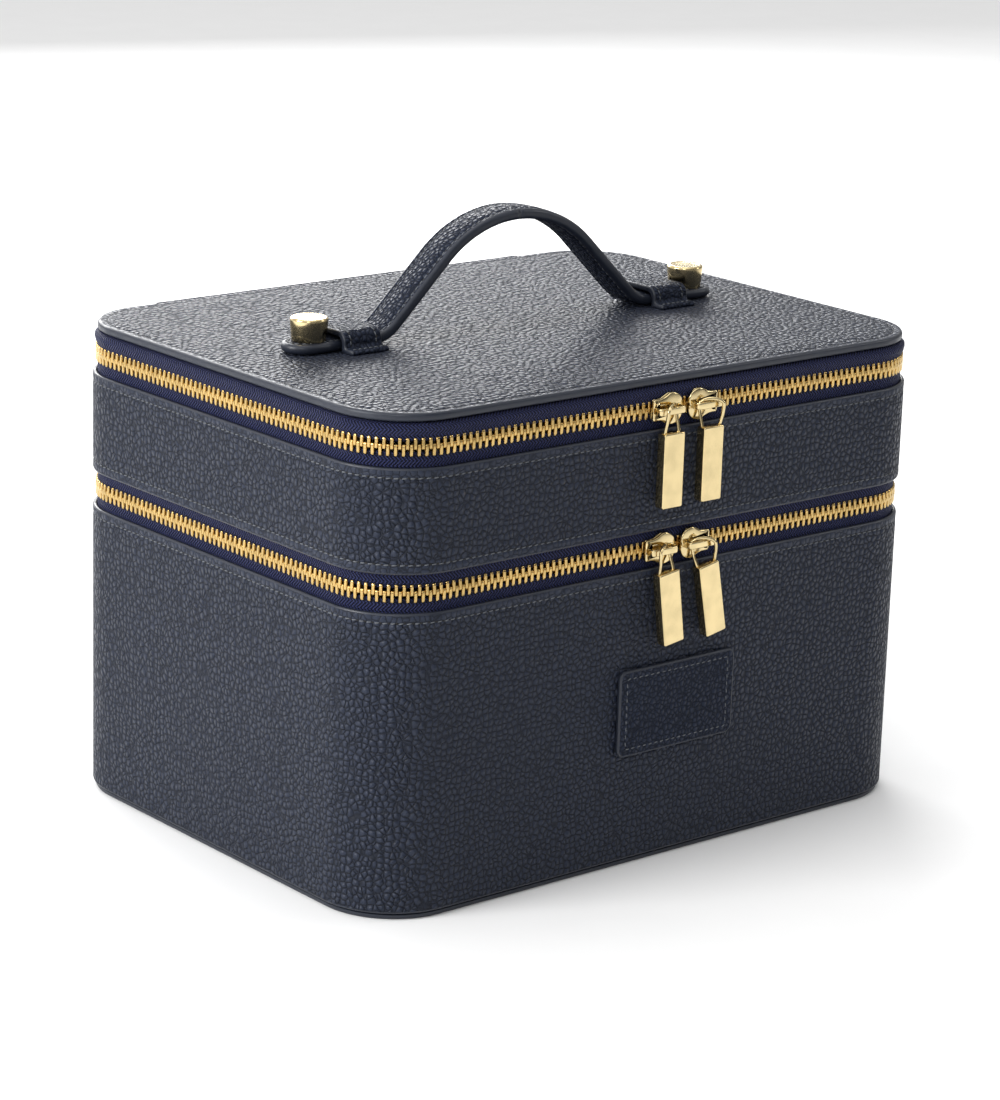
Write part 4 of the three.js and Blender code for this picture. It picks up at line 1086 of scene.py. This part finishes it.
def build_handle():
    line = strap_line()
    for side, way in (("left", -1), ("right", 1)):
        end_body = f"handle_end_{side}"
        strap = strap_mesh(f"strap_{side}", line, way)
        nodes = [f"handle_leg_{side}"] + (["handle_grip"] if side == "left" else [])
        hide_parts(*nodes)
        pieces = [strap]
        for row, y in (("front", -5.1), ("back", 5.1)):
            for face, n, out in (("top", 1.78, 1), ("under", -1.62, -1)):
                points = [(way * (x + n * math.sin(a)), y, z + n * math.cos(a)) for x, z, a in line]
                normals = [(way * out * math.sin(a), 0, out * math.cos(a)) for x, z, a in line]
                pieces.append(stitch_line(f"stitches_strap_{side}_{row}_{face}", points, normals, THREAD))
        for piece in pieces:
            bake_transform(piece)
        build_tab(side, way, end_body)
        build_keeper(side)
        build_stud(side, end_body)


def build_tab(side, way, body):
    """Flat round end of the strap, its thick edge painted."""
    low, high = span(f"handle_tab_{side}")
    r = (high[1] - low[1]) / 2
    inner, tip = (low[0], high[0]) if way > 0 else (-high[0], -low[0])
    outline = [(way * inner, -r), (way * (tip - r), -r)]
    outline += [(way * (tip - r + x), y) for x, y in arc(0, 0, r, -90, 90, 24)[1:]] + [(way * inner, r)]
    made = slab(f"tab_{side}", outline, low[2], high[2], 1.45, "xy", [LEATHER_STRAP, EDGE], steps=5, edge=1,
                crown=0.15)
    settle(made, body, "handle_leather", f"handle_tab_{side}")
    row = r - 2.4
    line = [(inner + 1.5, -row)] + [(tip - r + x, y) for x, y in arc(0, 0, row, -90, 90, 16)]
    line += [(inner + 1.5, row)]
    points = [(way * x, y, high[2] + 0.05) for x, y in line]
    stitches = stitch_line(f"stitches_tab_{side}", points, np.tile((0.0, 0.0, 1.0), (len(points), 1)), THREAD)
    settle(stitches, body, "handle_leather")


def keeper_outline(toe, outer, top, inner, ceiling, foot, base):
    """Section of a keeper in Y and Z: feet on the lid and a rounded bridge over the strap."""
    r, inner_r = 3.9, 2.4
    right = [(toe, base), (toe, base + foot - 0.45), (toe - 0.6, base + foot), (outer + 1.2, base + foot)]
    right += bezier(right[-1], (outer + 0.1, base + foot + 0.1), (outer, base + foot + 1.2), 4)[1:]
    right += arc(outer - r, top - r, r, 0, 88, 8)
    left = [(-y, z) for y, z in reversed(right)]
    bend = ceiling - inner_r
    under = arc(-inner + inner_r, bend, inner_r, 180, 90, 6) + arc(inner - inner_r, bend, inner_r, 90, 0, 6)
    return right + left + [(-inner, base)] + under + [(inner, base)]


KEEPER_T, KEEPER_FOOT, KEEPER_PITCH = 2.0, 4.5, 2.3


def build_keeper(side):
    low, high = span(f"handle_keeper_{side}")
    base, top, toe = low[2] - 0.2, high[2], high[1]
    outer = toe - KEEPER_FOOT
    outline = keeper_outline(toe, outer, top, outer - KEEPER_T, top - KEEPER_T, 1.5, base)
    made = slab(f"keeper_{side}", outline, low[0], high[0], 0.6, "yz", [LEATHER_STRAP, EDGE], steps=4)
    centre = (low[0] + high[0]) / 2 * MM
    half = (high[0] - low[0]) / 2 * MM
    for face in made.data.polygons:
        if abs(face.center.x - centre) > half - 0.65 * MM:
            face.material_index = 1  # the painted rims
    settle(made, "lid", "handle_leather", f"handle_keeper_{side}")
    bridge = outline[4:30]  # the outline from one foot over to the other
    path = np.array([(y, z) for y, z in bridge if z > base + 2.0])
    grad = np.gradient(path, axis=0)
    normal = np.stack([grad[:, 1], -grad[:, 0]], 1)
    normal /= np.linalg.norm(normal, axis=1)[:, None]
    for n, x in enumerate((low[0] + 2.6, high[0] - 2.6)):
        points = [(x, y, z) for y, z in path]
        normals = [(0.0, a, b) for a, b in normal]
        line = stitch_line(f"stitches_keeper_{side}_{n}", points, normals, THREAD, pitch=KEEPER_PITCH)
        settle(line, "lid", "handle_leather")
    for n, y in enumerate((-toe + 1.9, toe - 1.9)):
        points = [(x, y, base + 1.55) for x in np.linspace(low[0] + 1.2, high[0] - 1.2, 8)]
        up = np.tile((0.0, 0.0, 1.0), (8, 1))
        line = stitch_line(f"stitches_foot_{side}_{n}", points, up, THREAD, pitch=KEEPER_PITCH)
        settle(line, "lid", "handle_leather")


def build_stud(side, body):
    low, high = span(f"stud_{side}")
    centre, (z0, z1) = (low + high) / 2, (low[2] - 0.25, high[2])
    profile = [(5.85, z0), (6.0, z0 + 0.2), (6.62, z1 - 1.0)] + arc(5.72, z1 - 0.9, 0.9, 0, 90, 6)[1:]
    profile += [(5.35, z1), (5.2, z1 - 0.12), (4.9, z1 - 0.16), (0.6, z1 - 0.16)]
    made = turned(f"stud_metal_{side}", profile, centre[:2], [GOLD])
    settle(made, body, "brass", f"stud_{side}")


# ------------------------------------------------------------------ inside
def lined_tray(name, node, body, board_top):
    """Lining of a tier: soft walls that fold over the board's edge, and a floor."""
    low, high = span(node)
    wall, floor, top = HALF_W - high[0], low[2] + 1.0, board_top + 0.9
    inner = wall + 1.1
    profile = [(PANEL_CAP, low[2]), (wall + 1.0, low[2]), (wall, low[2] + 1.0), (wall, board_top + 0.12)]
    profile += [(2.85, board_top + 0.12), (2.7, board_top + 0.5), (3.1, top)]
    profile += [(inner - 0.8 + x, top - 0.8 + z) for x, z in arc(0, 0, 0.8, 90, 0, 4)]
    profile += [(inner, z) for z in np.linspace(top - 3, floor + 3, 6)]
    profile += [(inner + 2.0 + x, floor + 2.0 + z) for x, z in arc(0, 0, 2.0, 180, 270, 3)]
    profile += [(PANEL_CAP, floor)]
    settle(capped(name, CASE, profile, [LINING]), body, "lining", node)


def build_divider(name, node, body):
    """Padded divider with a rounded top edge and a seam under it."""
    low, high = span(node)
    size, mid = high - low, (low + high) / 2
    thin = 0 if size[0] < size[1] else 1
    wide = 1 - thin
    outline = rounded_outline(size[wide], size[2], 2.2, mid[wide], mid[2])
    made = slab(name, outline, low[thin], high[thin], 1.5, "yz" if thin == 0 else "xz", [LINING], steps=4)
    settle(made, body, "lining", node)
    for n, way in enumerate((-1, 1)):
        points, normal = [], [0.0, 0.0, 0.0]
        normal[thin] = float(way)
        for u in np.linspace(low[wide] + 3, high[wide] - 3, 12):
            point = [0.0, 0.0, high[2] - 3.4]
            point[wide], point[thin] = u, (high if way > 0 else low)[thin]
            points.append(tuple(point))
        line = stitch_line(f"{name}_seam_{n}", points, np.tile(normal, (12, 1)), THREAD_LINING, pitch=3.2)
        settle(line, body, "lining")


def soft_panel(name, node):
    """Padded panel: a crowned top, rounded edges and a flat underside."""
    low, high = span(node)
    inset = HALF_W - high[0]
    flat = PANEL_CAP + 6
    z0, z1, r = low[2], high[2], (high[2] - low[2]) / 2
    profile = [(flat, z0), (inset + 1.2 * r, z0), (inset + 0.35 * r, z0 + 0.5 * r), (inset, z0 + r)]
    profile += [(inset + 0.3 * r, z1 - 0.5 * r), (inset + r, z1 - 0.25 * r), (inset + 3 * r, z1), (flat, z1)]
    return capped(name, CASE, profile, [LINING])


def roll(x, y0, y1, z0, z1, r):
    """One stuffed roll of the ring cushion, its two ends drawn in."""
    rows, sides = 36, 24
    points = []
    for i in range(rows):
        t = i / (rows - 1)
        y = y0 + (y1 - y0) * t
        share = (1 - abs(2 * t - 1) ** 14) ** 0.35 if 0 < i < rows - 1 else 0.35
        dimple = 1 + 0.012 * math.sin(9 * math.pi * t + x)
        for k in range(sides):
            a = 2 * math.pi * k / sides
            c, s = math.cos(a), math.sin(a)
            u = r * share * dimple * math.copysign(abs(c) ** 0.8, c)
            v = (z1 - z0) / 2 * (0.55 + 0.45 * share) * math.copysign(abs(s) ** 0.7, s)
            points.append((x + u, y, (z0 + z1) / 2 + v))
    made = mesh_from("roll", points, skin(rows, sides) + caps(rows, sides), [LINING])
    turn_out(made)
    return made


ROLLS = 6


def build_ring_cushion():
    low, high = span("ring_cushion")
    pitch = (high[0] - low[0]) / ROLLS
    middles = [low[0] + (i + 0.5) * pitch for i in range(ROLLS)]
    parts = [roll(x, low[1], high[1], low[2] + 0.8, high[2], pitch / 2 - 0.25) for x in middles]
    mid = (low + high) / 2
    base = rounded_outline(high[0] - low[0], high[1] - low[1], 3, mid[0], mid[1])
    parts.append(slab("base", base, low[2], low[2] + 5, 1.2, "xy", [LINING]))
    made = joined("ring_cushion_rolls", parts)
    settle(made, "middle_tier", "lining", "ring_cushion")


DIVIDERS = {
    "lower_case": ("lower_divider_long", "lower_divider_left", "lower_divider_right"),
    "middle_tier": ("tray_divider_cross", "tray_divider_long", "tray_divider_front", "tray_divider_back"),
}


def build_inside():
    lined_tray("lower_lining_cloth", "lower_lining", "lower_case", span("lower_board")[1][2])
    lined_tray("middle_lining_cloth", "middle_lining", "middle_tier", span("middle_board")[1][2])
    for body, nodes in DIVIDERS.items():
        for node in nodes:
            build_divider(f"{node}_cloth", node, body)
    pad = soft_panel("lower_floor_cushion", "lower_floor_pad")
    settle(pad, "lower_case", "lining", "lower_floor_pad")
    underside = soft_panel("tray_underside_cloth", "middle_underside")
    settle(underside, "middle_tier", "lining", "middle_underside")
    ceiling = soft_panel("lid_lining_cushion", "lid_lining")
    settle(ceiling, "lid", "lining", "lid_lining")
    build_ring_cushion()
    build_mirror()


def build_mirror():
    low, high = span("lid_mirror")
    outline = rounded_outline(high[0] * 2, high[1] * 2, 8)
    glass = slab("mirror_glass_plate", outline, low[2], high[2], 0.4, "xy", [MIRROR], steps=2, sharp=30)
    settle(glass, "lid", "mirror_glass", "lid_mirror")
    low, high = span("mirror_frame")
    path = rounded_path(high[0] - 6.0, high[1] - 6.0, 8.0, steps=10)
    profile = [(-0.2, high[2]), (-6.0, high[2]), (-6.0, low[2] + 1.3), (-5.6, low[2] + 0.5),
               (-4.8, low[2] + 0.1), (-3.0, low[2]), (-1.2, low[2] + 0.1), (-0.5, low[2] + 0.5),
               (-0.2, low[2] + 1.0)]
    made = sweep("mirror_frame_leather", path, profile, [LEATHER], sharp=60)
    settle(made, "lid", "leather", "mirror_frame")


# ------------------------------------------------------------------ hinges
STRIP_T = 1.3


def hinge_strip(name, node, lower_body, upper_body, gap_high):
    """Leather strip sewn to two tiers, across the gap between them."""
    low, high = span(node)
    y0, y1, bevel = high[1] - STRIP_T, high[1], 0.4
    zs = np.linspace(low[2] + 0.6, high[2] - 0.6, 40)
    profile = [(y0, low[2]), (y1 - bevel, low[2]), (y1, low[2] + bevel)] + [(y1, z) for z in zs]
    profile += [(y1, high[2] - bevel), (y1 - bevel, high[2]), (y0, high[2])] + [(y0, z) for z in zs[::-1]]
    xs = np.linspace(low[0], high[0], 30)
    points = [(x, y, z) for x in xs for y, z in profile]
    faces = skin(len(xs), len(profile)) + caps(len(xs), len(profile))
    made = mesh_from(name, points, faces, [LEATHER_STRAP], sharp=50)
    turn_out(made)
    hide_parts(node)
    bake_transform(made)
    top_inset = 3 if gap_high + 4 < high[2] else 1.2  # the lid's edge is narrower than a tier's leather
    for n, (z, body) in enumerate(((low[2] + 3, lower_body), (high[2] - top_inset, upper_body))):
        line = [(x, y1 + 0.02, z) for x in np.linspace(low[0] + 3, high[0] - 3, 60)]
        out = np.tile((0.0, 1.0, 0.0), (len(line), 1))
        settle(stitch_line(f"stitches_{name}_{n}", line, out, THREAD), body, "leather")


def build_hinges():
    lower_top, lid_low = span("lower_cover")[1][2], span("lid_cover")[0][2]
    middle_low, middle_top = (corner[2] for corner in span("middle_cover"))
    hinge_strip("hinge_lower", "hinge_strip_lower", "lower_case", "middle_tier", middle_low)
    hinge_strip("hinge_upper", "hinge_strip_upper", "middle_tier", "lid", lid_low)


def finish_cad_nodes():
    """CAD nodes that stay: the boards and the studs' screws."""
    for node, material in (("lower_board", BOARD), ("middle_board", BOARD), ("lid_board", BOARD),
                           ("stud_screw_left", GOLD), ("stud_screw_right", GOLD)):
        data = frame["nodes"][node].data
        data.materials.clear()
        data.materials.append(material)


FLOOR_R = 40000.0


def make_floor():
    """A round floor, 40 m from its middle to its rim."""
    rim = [(FLOOR_R * math.cos(a), FLOOR_R * math.sin(a), 0.0) for a in np.radians(np.arange(0, 360, 5))]
    mesh_from("floor", rim, [tuple(range(len(rim)))], [floor_material()])


make_camera()
make_studio()
make_floor()
build_walls()
build_base()
build_lid()
build_zips()
for level in ("upper", "lower"):
    for side in ("left", "right"):
        build_slider(level, side)
        build_pull(level, side)
build_patch()
build_handle()
build_inside()
build_hinges()
finish_cad_nodes()
